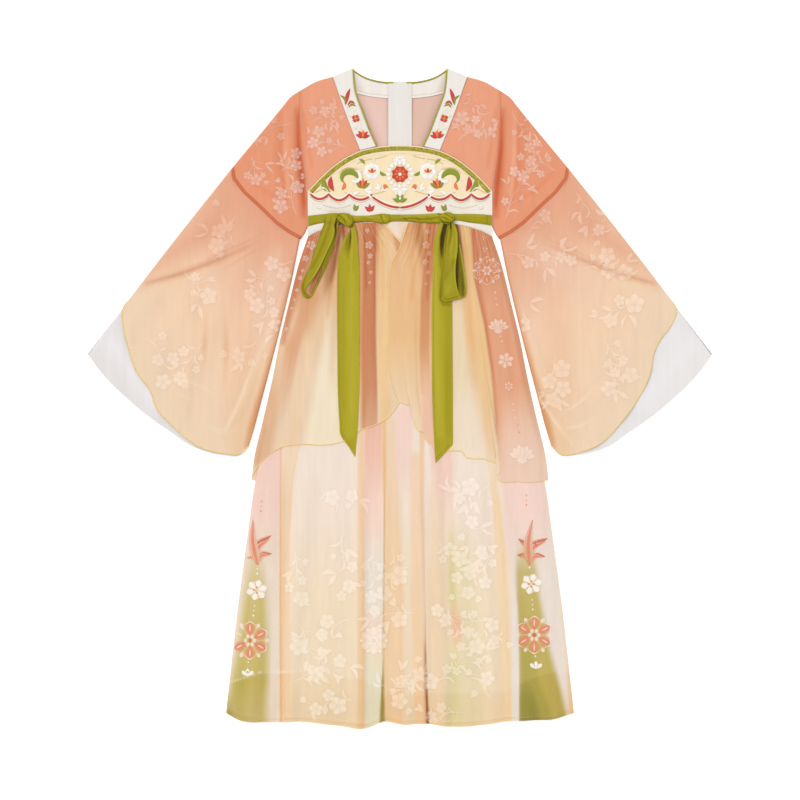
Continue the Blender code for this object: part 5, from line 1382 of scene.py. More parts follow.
def make_chest_embroidery(cloth):
    """A balanced ornament of rosette, scrolls, blossoms and leaves, the same on both sides."""
    work = Drawing(Surface(cloth), pad=0.9, columns=7)
    x = np.linspace(2, 138, 40)
    arch = np.array(((0, 402), (40, 399), (66, 393), (91, 381), (116, 363), (132, 349), (140, 341))).T
    for turn in (-1, 1):
        for start, end, _, _ in SCALLOPS:
            part = np.linspace(start, end, 11)
            line = np.column_stack([part * turn, scallop_line(np.clip(part, start + 0.01, end - 0.01))])
            for rise, width, code, pad in (
                (4.6, 2.4, PEARL, 0.5), (1.2, 3.6, RED, 0.9), (-3, 1.1, GOLD, 0.4), (-5.4, 1.6, PEARL, 0.5),
            ):
                work.stroke(line + (0, rise), width, code, detail=18, pad=pad)
        work.stroke(np.column_stack([turn * x, np.interp(x, *arch)]), 1.2, SAND, detail=60, pad=0.5)
    middle = (0, 367)
    for k in range(16):
        work.petal(middle, 22.5 * k, 9, 7, PEARL, gap=14)
        work.dot(middle + 16.5 * towards(22.5 * k), 3.6, PEARL, 1.8, up=1)
    for k in range(8):
        work.petal(middle, 22.5 + 45 * k, 11.5, 9.5, RED, gap=2.5, up=2)
    for k in range(8):
        work.petal(middle, 45 * k, 7.5, 4.2, ORANGE, gap=2.5, pad=1.3, up=3)
    work.dot(middle, 6, PEARL, 1.8, up=4)
    fan(work, (0, 388), 90, 11, [PEARL] * 5, 38)
    fan(work, (0, 389), 90, 6, (RED, RED), 50, up=2)
    fan(work, (0, 343), 270, 13, (PEARL, SAND, PEARL, SAND, PEARL), 40)
    fan(work, (0, 322), 90, 13, [LEAF] * 4, 46, "bud")
    work.dot((0, 327), 5, PEARL, 1.4, up=2)
    for turn in (-1, 1):
        def at(x, y):
            return (x * turn, y)

        def heading(angle):
            return angle if turn > 0 else 180 - angle

        # Two scrolls that wind into each other, with long leaves at their backs.
        curl(work, at(87, 357), 21, heading(195), turn * -240, 10.5, LEAF, GOLD)
        curl(work, at(76, 361), 13, heading(95), turn * 250, 7.5, PEARL, SAND, up=2)
        for x, y, angle, length, width, code, bend, up in (
            (109, 339, 80, 25, 9, RED, -0.14, 0), (115, 338, 66, 25, 10, LEAF, -0.2, 0),
            (118, 338, 30, 15, 6, SAND, 0.18, 0), (96, 341, 108, 14, 6, ORANGE, 0.16, 0),
            (117, 343, 66, 16, 1.2, GOLD, -0.18, 1), (110, 344, 80, 16, 1.2, GOLD, -0.18, 1),
        ):
            work.petal(at(x, y), heading(angle), length, width, code, "leaf", bend * turn, up=up)
        # A peony, a tulip and their foliage.
        for x, y, angle, length, code in (
            (34, 372, 210, 13, LEAF), (58, 384, 40, 12, LEAF), (44, 384, 88, 11, SAND), (62, 372, 0, 9, SAND),
            (58, 342, 200, 15, PEARL), (58, 342, 160, 14, PEARL), (52, 336, 235, 11, PEARL),
            (66, 338, -30, 13, PEARL), (34, 342, 60, 12, PEARL), (34, 342, 100, 10, SAND),
            (32, 340, 20, 12, PEARL), (28, 340, 150, 10, PEARL),
        ):
            work.petal(at(x, y), heading(angle), length, length * 0.42, code, "leaf", 0.12 * turn)
        for k in range(7):
            work.petal(at(46, 372), heading(90 + 360 * k / 7), 13, 12.5, PEARL, gap=1)
        for k in range(5):
            work.petal(at(46, 372), heading(54 + 72 * k), 9, 8, SAND, gap=0.5, up=2)
        fan(work, at(46, 368), 90, 9.5, (ORANGE, RED, ORANGE), 44, up=4)
        fan(work, at(63, 345), heading(100), 15, (LEAF, RED, ORANGE, RED, LEAF), 26, "bud")
        fan(work, at(26, 350), heading(240), 9, (ORANGE, ORANGE), 40, "bud")
        # Gold arcs between them.
        for arc in (
            ((20, 398), (34, 394), (58, 390), (72, 384)), ((22, 340), (40, 335), (66, 331), (92, 337)),
            ((120, 345), (132, 341), (141, 336)),
        ):
            work.stroke([at(*place) for place in arc], 1.1, GOLD, detail=30, pad=0.5)
        # Below the field, buds that hang in turn, and a garland of small stitches.
        fan(work, at(49, 306), heading(84), 12, (RED, RED, RED), 42, "bud")
        fan(work, at(74, 307), heading(104), 11, (LEAF, LEAF), 40, "bud")
        work.dot(at(49, 311), 2.2, SAND, up=3)
        for k in range(15):
            sag = np.sin(np.pi * k / 14)
            work.dot(at(82 + 3.1 * k, 316 - 4.6 * sag), 1.7, GOLD, 0.5, up=3)
            work.dot(at(90 + 2.6 * k, 309 - 2.2 * sag), 1.1, SAND, 0.4, up=3)
        work.petal(at(130, 310), heading(20), 9, 4, SAND, "leaf", up=3)
    work.finish("chest_embroidery", FINISH["stitch"], "green_stitching")


def make_collar_embroidery(collars):
    """Sprigs on the collar bands: long leaves over two flowers."""
    work = Drawing(Surface(*collars), pad=0.7, columns=7)
    down, inner = curve(COLLAR_OUTER[::-1]), curve(COLLAR_INNER[::-1])
    for turn in (-1, 1):
        def place(share, across):
            return ((1 - across) * down(share) + across * inner(share)) * (-turn, 1)

        def heading(angle):
            return 180 - angle if turn > 0 else angle

        for shift in (-0.12, 0.08):
            shares = np.linspace(0.38, 0.84, 12)
            stem = [place(share, 0.5 + shift + 0.16 * np.sin(share * 13)) for share in shares]
            work.stroke(stem, 1.6, SAND, detail=40, pad=0.4)
        for share, across, angle, length, code, bend in (
            (0.39, 0.24, 76, 27, RED, 0.05), (0.4, 0.18, 118, 19, LEAF, -0.22),
            (0.415, 0.3, 16, 13, RED, 0.4), (0.44, 0.3, 8, 13, LEAF, 0.34), (0.49, 0.5, 250, 13, SAND, 0.2),
            (0.53, 0.42, 200, 8, SAND, 0.2), (0.7, 0.44, 200, 9, SAND, 0.2), (0.73, 0.56, -50, 9, SAND, 0.2),
        ):
            wide = max(4, length * 0.24)
            work.petal(place(share, across), heading(angle), length, wide, code, "leaf", bend * -turn)
        work.bloom(place(0.6, 0.5), 13, RED, None, 4, heading(60), 0.8, 0.05, up=2)
        work.bloom(place(0.6, 0.5), 8, ORANGE, PEARL, 4, heading(105), 0.7, 0.05, up=3)
        fan(work, place(0.85, 0.47), heading(86), 12.5, (RED, RED, ORANGE, RED, RED), 36, "bud")
        work.petal(place(0.85, 0.47), heading(86), 8, 4.5, ORANGE, "bud", gap=1, up=5)
    work.finish("collar_embroidery", FINISH["stitch"], "green_stitching")


def blossom(work, place, size, turn, white, up=0):
    """An open flower as it is printed: broad petals with a darker ring of stamens."""
    place = np.asarray(place)
    for flower, reach in work.flowers:
        if np.hypot(*(place - flower)) < 0.42 * (size + reach):
            return
    work.flowers.append((place, size))
    work.bloom(place, size, white, None, 5, turn, 0.86, 0.05, up)
    work.bloom(place, size * 0.6, 0.6 * white, None, 5, turn + 36, 0.24, 0.12, up + 1)
    work.dot(place, size * 0.13, 1.15 * white, up=up + 1)


def spray(work, place, angle, length, seed, white, grow=1):
    """A branch of blossom as it is printed: a bare stem, with flowers, buds and leaves on both sides."""
    draw = np.random.default_rng(seed)
    route, headings = [np.asarray(place, float)], []
    bend = draw.uniform(-11, 11)
    for _ in range(6):
        angle += bend + draw.uniform(-18, 18)
        headings.append(angle)
        route.append(route[-1] + length / 6 * towards(angle))
    work.stroke(route, 2.8, 0.8 * white, "thorn")
    blossom(work, route[-1], grow * draw.uniform(15, 22), draw.uniform(0, 72), white, 1)
    for k, (joint, heading) in enumerate(zip(route[1:], headings)):
        side = -1 if k % 2 else 1
        out = heading + side * draw.uniform(34, 66)
        twig = draw.uniform(11, 24) * towards(out)
        end = joint + twig
        work.stroke((joint, joint + 0.5 * twig + draw.uniform(-2, 2, 2), end), 1.5, 0.7 * white, up=1)
        kind = draw.random()
        if kind < 0.5:
            blossom(work, end, grow * draw.uniform(10, 26), draw.uniform(0, 72), white, 1)
        elif kind < 0.75:
            for spread in (-26, 0, 26):
                size = grow * draw.uniform(7, 11), grow * draw.uniform(4, 6)
                work.petal(end, out + spread, *size, white, "bud", up=1)
        else:
            for spread in (-30, 22):
                size = grow * draw.uniform(13, 21), grow * draw.uniform(4.5, 7)
                work.petal(end, out + spread, *size, 0.85 * white, "leaf", draw.uniform(-0.22, 0.22), up=1)
        if draw.random() < 0.7:
            back = heading - side * draw.uniform(30, 75)
            size = grow * draw.uniform(10, 19), draw.uniform(3.5, 6)
            work.petal(joint, back, *size, 0.8 * white, "leaf", 0.2 * side, up=1)


def lily(work, place, angle, size, code, edge):
    """A tuft of long leaves that curl outwards at their tips, around a tall bud."""
    for turn, reach, wide, bend in (
        (30, 0.62, 0.22, -0.24), (-28, 0.72, 0.22, 0.24), (60, 0.34, 0.16, -0.3), (-56, 0.4, 0.16, 0.3),
    ):
        length, width = size * reach, size * wide
        work.petal(place, angle + turn, length, width, edge, "leaf", bend)
        work.petal(place, angle + turn * 0.97, length * 0.86, width * 0.55, code, "leaf", bend, up=1)
    work.petal(place, angle + 3, size, size * 0.2, edge, "bud", 0.06, up=2)
    work.petal(place, angle + 3, size * 0.94, size * 0.13, code, "bud", 0.06, size * 0.02, up=3)


def lotus(work, place, angle, size, code, edge):
    """An open flower seen from the side, on a row of small lower petals."""
    for turn in (-76, 76, -48, 48, -20, 20):
        work.petal(place, angle + turn, size * 0.72, size * 0.34, code)
        work.petal(place, angle + turn, size * 0.34, size * 0.05, edge, "leaf", gap=size * 0.14, up=1)
    work.petal(place, angle, size * 0.62, size * 0.3, edge, up=2)
    work.petal(place, angle, size * 0.54, size * 0.2, code, gap=size * 0.02, up=3)
    for turn in (-130, -155, 155, 130, 180):
        work.petal(place, angle + turn, size * 0.34, size * 0.24, code)


def rosette(work, place, size, code, edge, heart, petals=6):
    """A round flower of outlined petals with a light line down each, around a ring of small ones."""
    angles = [90 + 360 * k / petals for k in range(petals)]
    for angle in angles:
        between = angle + 180 / petals
        work.petal(place + size * 0.3 * towards(between), between, size * 0.22, size * 0.14, edge)
        work.petal(place, angle, size * 0.45, size * 2.35 / petals, edge, gap=size * 0.06, up=1)
        work.petal(place, angle, size * 0.385, size * 1.95 / petals, code, gap=size * 0.09, up=2)
        work.petal(place, angle, size * 0.2, size * 0.045, edge, "leaf", gap=size * 0.23, up=3)
    for angle in angles:
        work.dot(place + size * 0.12 * towards(angle + 180 / petals), size * 0.12, edge, up=4)
    work.dot(place, size * 0.1, heart, up=5)


def make_prints(sleeves, fronts, skirt, overskirts):
    """Pale blossom over the whole dress, and strings of flowers down the sides."""
    def sown(cloth, sprays, grow=1, fade=1):
        work = Drawing(Surface(cloth), printed=True)
        for x, y, angle, length, white in sprays:
            spray(work, (x, y), angle, length, int(abs(x) + abs(y)), fade * white, grow)
        return work

    printed = FINISH["print"]
    for side, _ in SIDES:
        sown(fronts[side], FRONT_SPRAYS[side]).finish(f"shoulder_print_{side}", printed, "coral_chiffon")
        upper = sown(sleeves[f"upper_{side}"], UPPER_SPRAYS[side])
        upper.finish(f"upper_print_{side}", printed, "coral_chiffon")
        lower = sown(sleeves[f"lower_{side}"], LOWER_SPRAYS[side], 1.35, 0.75)
        lower.finish(f"lower_print_{side}", printed, "dyed_chiffon")
    work = sown(skirt, SKIRT_SPRAYS, 1.3, 0.62)
    coral, shade, cream = "#e38c6e", "#d2704f", "#fbf3ea"
    for spine, lean, lift in (
        (((-228, -170), (-233, -230), (-236, -318), (-247, -400), (-251, -454)), 93, 0),
        (((208, -178), (208, -232), (216, -304), (221, -390), (224, -442)), 83, 10),
    ):
        x, y = np.array(spine).T

        def at(height):
            return np.interp(-height, -y, x), height

        for height, size, code in (
            (-172, 3, "#b9b06a"), (-180, 2.2, coral), (-188, 3.2, coral), (-283, 3, cream),
            (-291, 3.6, cream), (-344, 2.6, cream), (-352, 2.6, cream), (-360, 3.4, cream), (-437, 3, cream),
        ):
            work.dot(at(height + lift), size, code)
        lily(work, at(-276), lean, 74, coral, shade)
        flower = at(-318 + lift)
        work.bloom(flower, 34, cream, None, 6, 15, 0.95, 0.04)
        work.bloom(flower, 25, "#eeb9a0", None, 6, 45, 0.14, 0.14, up=1)
        work.bloom(flower, 13, "#e79a78", cream, 4, 0, 0.5, up=1)
        rosette(work, at(-401 + 0.9 * lift), 62, coral, "#f7dccb", shade)
        end, low = at(spine[-1][1])
        for k in range(-1, 2):
            work.petal((end, low - 6), 90 + 48 * k, 13, 8, cream)
        work.dot((end, low + 1), 3.4, coral, up=1)
    rosette(work, (-43, -401), 44, 0.3, 0.55, 0.4)
    work.finish("skirt_print", printed, "cream_chiffon")

    work = sown(overskirts["right"], ())
    rosette(work, (143, 208), 46, "#d38a62", 0.42, 0.2)
    for x, y, size in ((138, 262, 7), (140, 243, 9), (160, 246, 8)):
        work.bloom((x, y), size, 0.35, None, 3, x, 0.5)
    for x, y, size in (
        (157, 172, 4), (158, 162, 3), (160, 152, 3), (166, 100, 3), (168, 92, 3.4), (176, 62, 5),
        (186, -12, 3), (187, -22, 3), (190, -34, 3),
    ):
        work.dot((x, y), size, 0.45)
    lotus(work, (162, 112), 90, 24, 0.42, 0.1)
    work.bloom((174, 60), 26, 0.42, None, 6, 20, 0.8, 0.05)
    work.bloom((174, 60), 15, 0.05, 0.4, 6, 50, 0.3, up=1)
    work.bloom((179, 18), 15, 0.4, 0.1, 6)
    work.dot((194, -46), 3.4, "#c9c08a")
    work.dot((196, -58), 3.2, coral)
    lotus(work, (201, -100), 86, 30, 0.35, 0.1)
    for x, y, size in ((46, 272, 6), (43, 250, 9), (48, 236, 6), (42, 222, 7), (46, 205, 5), (43, 186, 4)):
        blossom(work, (x, y), 1.5 * size, x * 7, 0.2)
    work.finish("overskirt_print_right", printed, "dyed_chiffon")

    work = sown(overskirts["left"], ())
    for x, y, size in (
        (-54, 274, 6), (-51, 250, 10), (-49, 232, 7), (-52, 221, 5), (-48, 205, 5), (-50, 188, 4),
        (-146, 250, 12), (-155, 228, 8), (-160, 208, 5), (-164, 196, 6), (-170, 176, 5), (-174, 160, 4),
        (-178, 146, 4), (-187, 112, 5),
    ):
        blossom(work, (x, y), 1.4 * size, x * 7, 0.32)
    work.finish("overskirt_print_left", printed, "dyed_chiffon")


def make_upper_sleeve(side, turn):
    """An upper sleeve, from the armhole to its slanted seam."""
    across, along = even(90), 1 - (1 - even(84)) ** 1.6  # finer towards the seam, to hold its lines
    armhole = shifted(ARMHOLE[::-1], -SEAM, 0)
    shoulder = shifted(SHOULDER_TO_SEAM, -SEAM / 2, 0)
    plan = patch(armhole, SLEEVE_SEAM, shoulder, UNDERARM, along, across).transpose(1, 0, 2)
    rise = smooth(along)[:, None] * level(2) + 0.4 * np.sin(np.pi * across)
    cloth = Cloth(plan * (turn, 1), level(1) + WALL + rise, "#e49672")
    cloth.dye(for_side(turn, (
        ("#dc8660", 12, ((-200, 470, 2, 0.7), (-202, 400, 5, 0.7), (-196, 330, 5, 0.4), (-190, 300, 3, 0))),
        # Painted shade where the sleeve dips under the bodice, and a line of it along the armhole.
        ("#cb6c44", 7, ((-171, 474, 3, 0.6), (-167, 408, 6, 0.85), (-163, 358, 7, 0.9), (-158, 300, 5, 0.7))),
        ("#c8663e", 1.6, [(x, y, 0.8, 0.7) for x, y in ARMHOLE]),
        # A painted highlight on the ridge beside it.
        ("#efb08f", 4, ((-188, 470, 2, 0.3), (-188, 400, 3, 0.6), (-184, 340, 3, 0.4), (-180, 300, 2, 0))),
        ("#bb5a34", 0.8, [(x + 2.9, y + 2.3, 2.7, 0.9) for x, y in SLEEVE_SEAM]),
        ("#d67c55", 0.8, [(x + 2.9, y + 2.3, 0.9, 0.8) for x, y in SLEEVE_SEAM]),
        ("#d98863", 4, [(x, y, 1, 0.6) for x, y in SHOULDER_TO_SEAM]),
    )))
    cloth.ripple(31 + turn, 60, 0.5)
    cloth.crease(for_side(turn, UPPER_SLEEVE_CREASES))
    make_tube(f"upper_sleeve_cloth_{side}", cloth, FINISH["coral"], "coral_chiffon", f"upper_sleeve_{side}")
    return cloth


def make_sleeves():
    """Upper sleeve, wide lower sleeve and the white sleeve inside it, all flattened tubes."""
    cloths, hems = {}, []
    seam = shifted(SLEEVE_SEAM, -SEAM, -SEAM)
    top, low = seam[:1] + SEAM_TO_HEM_TOP[1:], seam[-1:] + SEAM_TO_HEM_LOW[1:]
    for (side, turn), hem, white in zip(SIDES, (SLEEVE_HEM_LEFT, SLEEVE_HEM_RIGHT), ("#dfdbda", "#e3e0df")):
        cloths[f"upper_{side}"] = make_upper_sleeve(side, turn)

        across, along = even(126), even(130)
        plan = patch(seam, hem, top, low, along, across).transpose(1, 0, 2)
        folds = fold_rise(across, along[:, None], SLEEVE_FOLDS) * smooth(along * 4)[:, None]
        folds *= 1 - 0.6 * smooth((along - 0.75) / 0.25)[:, None]
        lower = Cloth(plan * (turn, 1), level(3) + WALL + folds, ground(along, SLEEVE_GROUND)[:, None])
        lower.dye(for_side(turn, SLEEVE_DYES))
        lower.dye(SLEEVE_LIGHTS[side])
        lower.ripple(41 + turn, 70, 0.6)
        lower.crease(for_side(turn, SLEEVE_CREASES + (LEFT_SLEEVE_CREASES if turn > 0 else ())))
        make_tube(f"lower_sleeve_cloth_{side}", lower, FINISH["dyed"], "dyed_chiffon", f"lower_sleeve_{side}")
        cloths[f"lower_{side}"] = lower
        hems.append(lower.points()[-1])

        # The white sleeve: rows hidden in the lower one, drawn in from its edges, and rows in its mouth.
        hidden = patch(seam, hem, top, low, np.linspace(0.08, 0.95, 40), even(70)).transpose(1, 0, 2)
        inward = np.clip(1 - side_distance(hidden) / 30, 0, 1)[..., None]
        nearer_top = (np.arange(70) < 35)[:, None]
        from_top, from_underarm = level(1) * np.array(FROM_TOP), level(2) * np.array(FROM_UNDERARM)
        hidden += inward * np.where(nearer_top, from_top, from_underarm)
        reach = curve(CUFF)(even(70)) - hidden[-1]
        plan = np.concatenate([hidden, hidden[-1] + reach * even(31)[1:, None, None]])
        height = np.full(plan.shape[:2], level(2) + WALL)
        height[-30:] -= smooth(np.linalg.norm(reach, axis=1) / 60) * level(1) * smooth(even(30))[:, None]
        inner = Cloth(plan * (turn, 1), height, white)
        middle = ((-480, 90, 12, 0.8), (-440, 40, 12, 0.8), (-400, -10, 12, 0.8))
        inner.dye(for_side(turn, [("#e9e5e6", 20, middle)]))
        inner.ripple(51 + turn, 50, 0.35)
        inner.tuck(Surface(lower), 0.8)
        make_tube(
            f"inner_sleeve_cloth_{side}", inner, FINISH["cotton"], "white_cotton", f"inner_sleeve_{side}",
            under=0.3, step=5, radius=3,
        )
    make_thread("sleeve_hems", hems, HEM_THREAD, "#f4d27f", FINISH["hem"], "dyed_chiffon")
    return cloths


def make_backs(side, top):
    """The plain backs of the overskirt and the long skirt."""
    hem = shifted(both_halves(OVERSKIRT_BACK_HEM), 0, -SEAM)
    waist = shifted(both_halves(WAIST), 0, -SEAM)
    over_side = hem[:1] + shifted(OVERSKIRT_SIDE[::-1], 0, -SEAM)
    plan = patch(over_side, mirrored(over_side), hem, waist, even(60), even(46))
    overskirt = Cloth(plan, 0.7, ground(plan[..., 1], OVERSKIRT_GROUND_LEFT))
    hem = shifted(SKIRT_HEM, 0, -SEAM)
    plan = patch(side, mirrored(side), hem, top, even(60), even(80))
    skirt = Cloth(plan, on_overskirt(plan) + 0.7, ground(plan[..., 1], SKIRT_GROUND))
    for _, turn in SIDES:
        skirt.dye(for_side(turn, SKIRT_DYES_AND_SHADE[:4]))
    for name, cloth, slot in (("overskirt", overskirt, "dyed_chiffon"), ("skirt", skirt, "cream_chiffon")):
        make_shell(f"{name}_back_cloth", cloth, FINISH["print"], slot, f"{name}_back", wall=BACK_WALL)


def lining_cloth(side, waist):
    """The skirt's lining, a tube that stays inside the skirt's sides."""
    side = shifted(side[1:], LINING_INSET, 0)
    side = ((side[0][0] - LINING_FLARE, LINING_Y),) + side
    hem = (side[0], (0, LINING_Y - 6), mirrored(side)[0])
    top = side[-1:] + tuple(place for place in waist if abs(place[0]) < 110) + mirrored(side)[-1:]
    plan = patch(side, mirrored(side), hem, top, even(70), even(90))
    return Cloth(plan, level(1) + on_overskirt(plan) + level(1) + WALL, "#f1e9dd")


def make_skirt():
    """Long skirt: a plain back, a lining and a front with folds, one knife pleat and one box pleat."""
    waist = shifted(both_halves(WAIST), 0, -SEAM)
    side = shifted(SKIRT_SIDE[::-1], 0, -SEAM)
    top = side[-1:] + waist[1:-1] + mirrored(side)[-1:]
    make_backs(side, top)
    lining = lining_cloth(side, waist)

    pleat = KNIFE_PLEAT[0]
    across = np.sort(np.concatenate([even(310), (pleat - 0.0015, pleat + 0.003, 0.002, 0.998)]))
    along = even(220)
    plan = patch(side, mirrored(side), SKIRT_HEM, top, across, along)
    down = 1 - along[:, None]
    shown = smooth((OVERSKIRT_BACK_Y + 60 - plan[..., 1]) / 110)
    left_of_pleat = fold_rise(across, down, (KNIFE_PLEAT,)) * (across < pleat)
    folds = (fold_rise(across, down, SKIRT_FOLDS) + left_of_pleat) * (0.15 + 0.85 * shown)
    inward = smooth(side_distance(plan) / SIDE_SLOPE)
    past_lining = level(2) * smooth((LINING_Y - 10 - plan[..., 1]) / 40)
    base = level(1) + on_overskirt(plan) + (level(2) - past_lining) * inward
    cloth = Cloth(plan, base + folds * inward + WALL, ground(plan[..., 1], SKIRT_GROUND))
    cloth.dye(SKIRT_DYES_AND_SHADE)
    cloth.ripple(71, 80, 0.7, share=shown * inward)
    cloth.crease(SKIRT_CREASES, share=(0.1 + 0.9 * shown) * inward)
    close = 1 - smooth(side_distance(plan) / 5)
    cloth.height -= close * (cloth.height - (on_overskirt(plan) + 0.8))
    # The lining's edge shows through, with a light line along it on the left.
    lining_edge = np.interp(plan[..., 0], *np.array(LINING_EDGE).T)
    cloth.deepen(0.15 * smooth((lining_edge - plan[..., 1] + 1) / 2))
    line = np.clip(1 - np.abs(lining_edge + 2 - plan[..., 1]) / 1.8, 0, 1) * smooth((-90 - plan[..., 0]) / 20)
    cloth.tint("#f8ead4", 0.6 * line)
    turned_up = smooth((HEM_WIDTH - np.abs(beside(plan, SKIRT_HEM_ROUTE)[0])) / 1.2)
    cloth.deepen(0.16 * turned_up)
    cloth.height += 0.3 * turned_up
    make_sheet("skirt_front_cloth", cloth, FINISH["cream"], "cream_chiffon", "skirt_front")
    sewing = Drawing(Surface(cloth), pad=0.1)
    stitches(sewing, [(x * 0.99, y + 5.5) for x, y in SKIRT_HEM], 4.4, 3, 0.7, "#dfb98a")
    sewing.finish("skirt_hem_stitches", FINISH["stitch"], "cream_chiffon")
    lining.ripple(61, 60, 0.2)
    lining.tuck(Surface(cloth), 0.7)
    make_tube("lining_cloth", lining, FINISH["cotton"], "white_cotton", "skirt_lining", under=1.4, radius=3)
    return cloth


def waist_gathers(turn, across, along):
    """Narrow gathers that run down from the waist, each a little different."""
    draw = np.random.default_rng(90 + turn)
    gathers, place = 0, 0.02
    while place < 0.98:
        width = draw.uniform(0.009, 0.02)
        reach = draw.uniform(0.1, 0.42)
        rise = draw.uniform(0.8, 1.9)
        lean = draw.uniform(-0.02, 0.02)
        fold = rounded((across - place - lean * along) / (width * (1 + 1.6 * along)))
        gathers = gathers + rise * fold * smooth(1 - along / reach) * (0.4 + 0.6 * smooth(along / 0.05))
        place += width * draw.uniform(1.5, 2.4)
    return gathers


def make_overskirt(skirt):
    """The two front halves of the overskirt, gathered at the waist and open in the middle."""
    halves = (
        (OVERSKIRT_HEM_LEFT, FRONT_EDGE_LEFT, OVERSKIRT_FOLDS_LEFT, OVERSKIRT_GROUND_LEFT,
         OVERSKIRT_DYES_AND_SHADE_LEFT, OVERSKIRT_CREASES_LEFT),
        (OVERSKIRT_HEM_RIGHT, FRONT_EDGE_RIGHT, OVERSKIRT_FOLDS_RIGHT, OVERSKIRT_GROUND_RIGHT,
         OVERSKIRT_DYES_AND_SHADE_RIGHT, OVERSKIRT_CREASES_RIGHT),
    )
    cloths, hems, on_skirt = {}, [], Surface(skirt)
    across, rows = even(144), even(180)
    along = 1 - rows[:, None]
    for (side, turn), (hem, front, folds, stops, tone_rows, creases) in zip(SIDES, halves):
        outer = hem[:1] + tuple((x * turn, y - SEAM) for x, y in OVERSKIRT_SIDE[::-1])
        waist = [(x * turn, y - SEAM) for x, y in WAIST if x < -50]
        plan = patch(outer, front, hem, waist + [front[-1]], across, rows)
        from_side = np.linalg.norm(plan - plan[:, :1], axis=2)
        inward = smooth(from_side / OVERSKIRT_SLOPE)
        gathers = waist_gathers(turn, across, along)
        rise = fold_rise(across, along, folds) * smooth(along * 3) + gathers
        top = level(4) * inward + 0.6 * inward * smooth(along * 6)
        if side == "right":
            top = top + LAP * smooth((40 - plan[..., 0]) / 14)
        cloth = Cloth(plan, level(1) + top + rise * inward + WALL, ground(plan[..., 1], stops))
        cloth.dye(tone_rows)
        # Painted shade in the hollows between the gathers near the waist.
        cloth.deepen(0.55 * (np.clip(0.55 - gathers, 0, 1) * smooth(1 - along / 0.3)))
        cloth.ripple(81 + turn, 60, 0.5, share=inward * smooth(along * 3))
        cloth.crease(creases, share=inward)
        close = 1 - smooth(from_side / 4)
        cloth.height -= close * (cloth.height - 0.9)
        below, _ = on_skirt.at(plan)
        room = cloth.height - 0.9 - np.where(on_skirt.lost.reshape(below.shape), 0.9, below)
        cloth.height -= np.clip(room, 0, None) * smooth((along - 0.8) / 0.2)
        cloths[side] = cloth
    cloths["left"].tuck(Surface(cloths["right"]), 1)
    for side, cloth in cloths.items():
        make_sheet(f"overskirt_cloth_{side}", cloth, FINISH["dyed"], "dyed_chiffon", f"overskirt_{side}")
        points = cloth.points()
        hems.append(np.concatenate([points[0], points[1:, -1]]))
    make_thread("overskirt_hems", hems, OVERSKIRT_THREAD, "#f8dd92", FINISH["hem"], "dyed_chiffon")
    return cloths


def over(surface, plan, reach):
    """Height of what lies under a cloth, with its hollows bridged over reach points."""
    heights, _ = surface.at(plan)
    for axis in (0, 1):
        for merge in (np.max, np.mean):
            padded = np.pad(heights, [(reach, reach) if k == axis else (0, 0) for k in (0, 1)], mode="edge")
            count = heights.shape[axis]
            near = [np.take(padded, range(k, k + count), axis) for k in range(2 * reach + 1)]
            heights = merge(near, axis=0)
    return heights


def ribbon(rows, across, along, surface, arch=0, code=SATIN, reach=3):
    """A cloth through rows of cross sections over a surface, domed by arch in the middle."""
    table = curve(rows)(even(along))[:, None, :]
    u = even(across)[:, None]
    plan = table[..., 0:2] * (1 - u) + table[..., 2:4] * u
    height = (table[..., 4:5] * (1 - u) + table[..., 5:6] * u)[..., 0] + over(surface, plan, reach) + CLOTH
    return Cloth(plan, height + arch * np.sin(np.pi * u[..., 0]) ** 0.7, code)


def satin(name, cloth, *nodes):
    """A finished piece of the sash."""
    return make_shell(name, cloth, FINISH["satin"], "green_satin", *nodes)


def make_band(surface):
    """The sash across the chest: flat at its ends, and rolled and twisted between the knots."""
    band = ribbon(BAND, 20, 300, surface)
    arch = np.interp(band.plan[:, :1, 0], *zip(*BAND_ARCH))
    dome = np.sin(np.pi * even(20)) ** 0.6
    band.height += arch * dome
    lay = band.plan[..., 0] * 0.55 + band.plan[..., 1] * 0.9
    band.height += 0.16 * smooth((arch - 1.2) / 0.8) * dome * np.sin(lay)
    band.ripple(101, 22, 0.16)
    band.crease(BAND_CREASES)
    band.dye(BAND_SHADE_AND_SHEEN)
    satin("sash_band", band, "tie_band")
    return band


def make_tail(side, rows, first, end, seed, surface):
    """A long tail, narrow and doubled under its knot, and hemmed along its slanted end.

    first is the row from which its edge is stitched, and end the line of the stitches across it.
    """
    # The tail has a lighter colour than the loops' satin: painted light on the flat tail.
    tail = ribbon(rows, 24, 210, surface, 0.4, "#a99d22")
    tail.crease(TAIL_CREASES[side])
    tail.dye(TAIL_SHEEN_AND_SHADE[side])
    tail.ripple(seed, 40, 0.22)
    satin(f"sash_tail_{side}", tail, f"tie_tail_{side}")
    sewing = Drawing(Surface(tail), pad=0.15)
    stitches(sewing, [(row[0] + 3, row[1]) for row in rows[first:-2]], 4.6, 3, 0.6, "#857b14")
    stitches(sewing, end, 4, 2.6, 0.6, "#7d7310")
    sewing.finish(f"sash_stitches_{side}", FINISH["stitch"], "green_satin")
    return tail


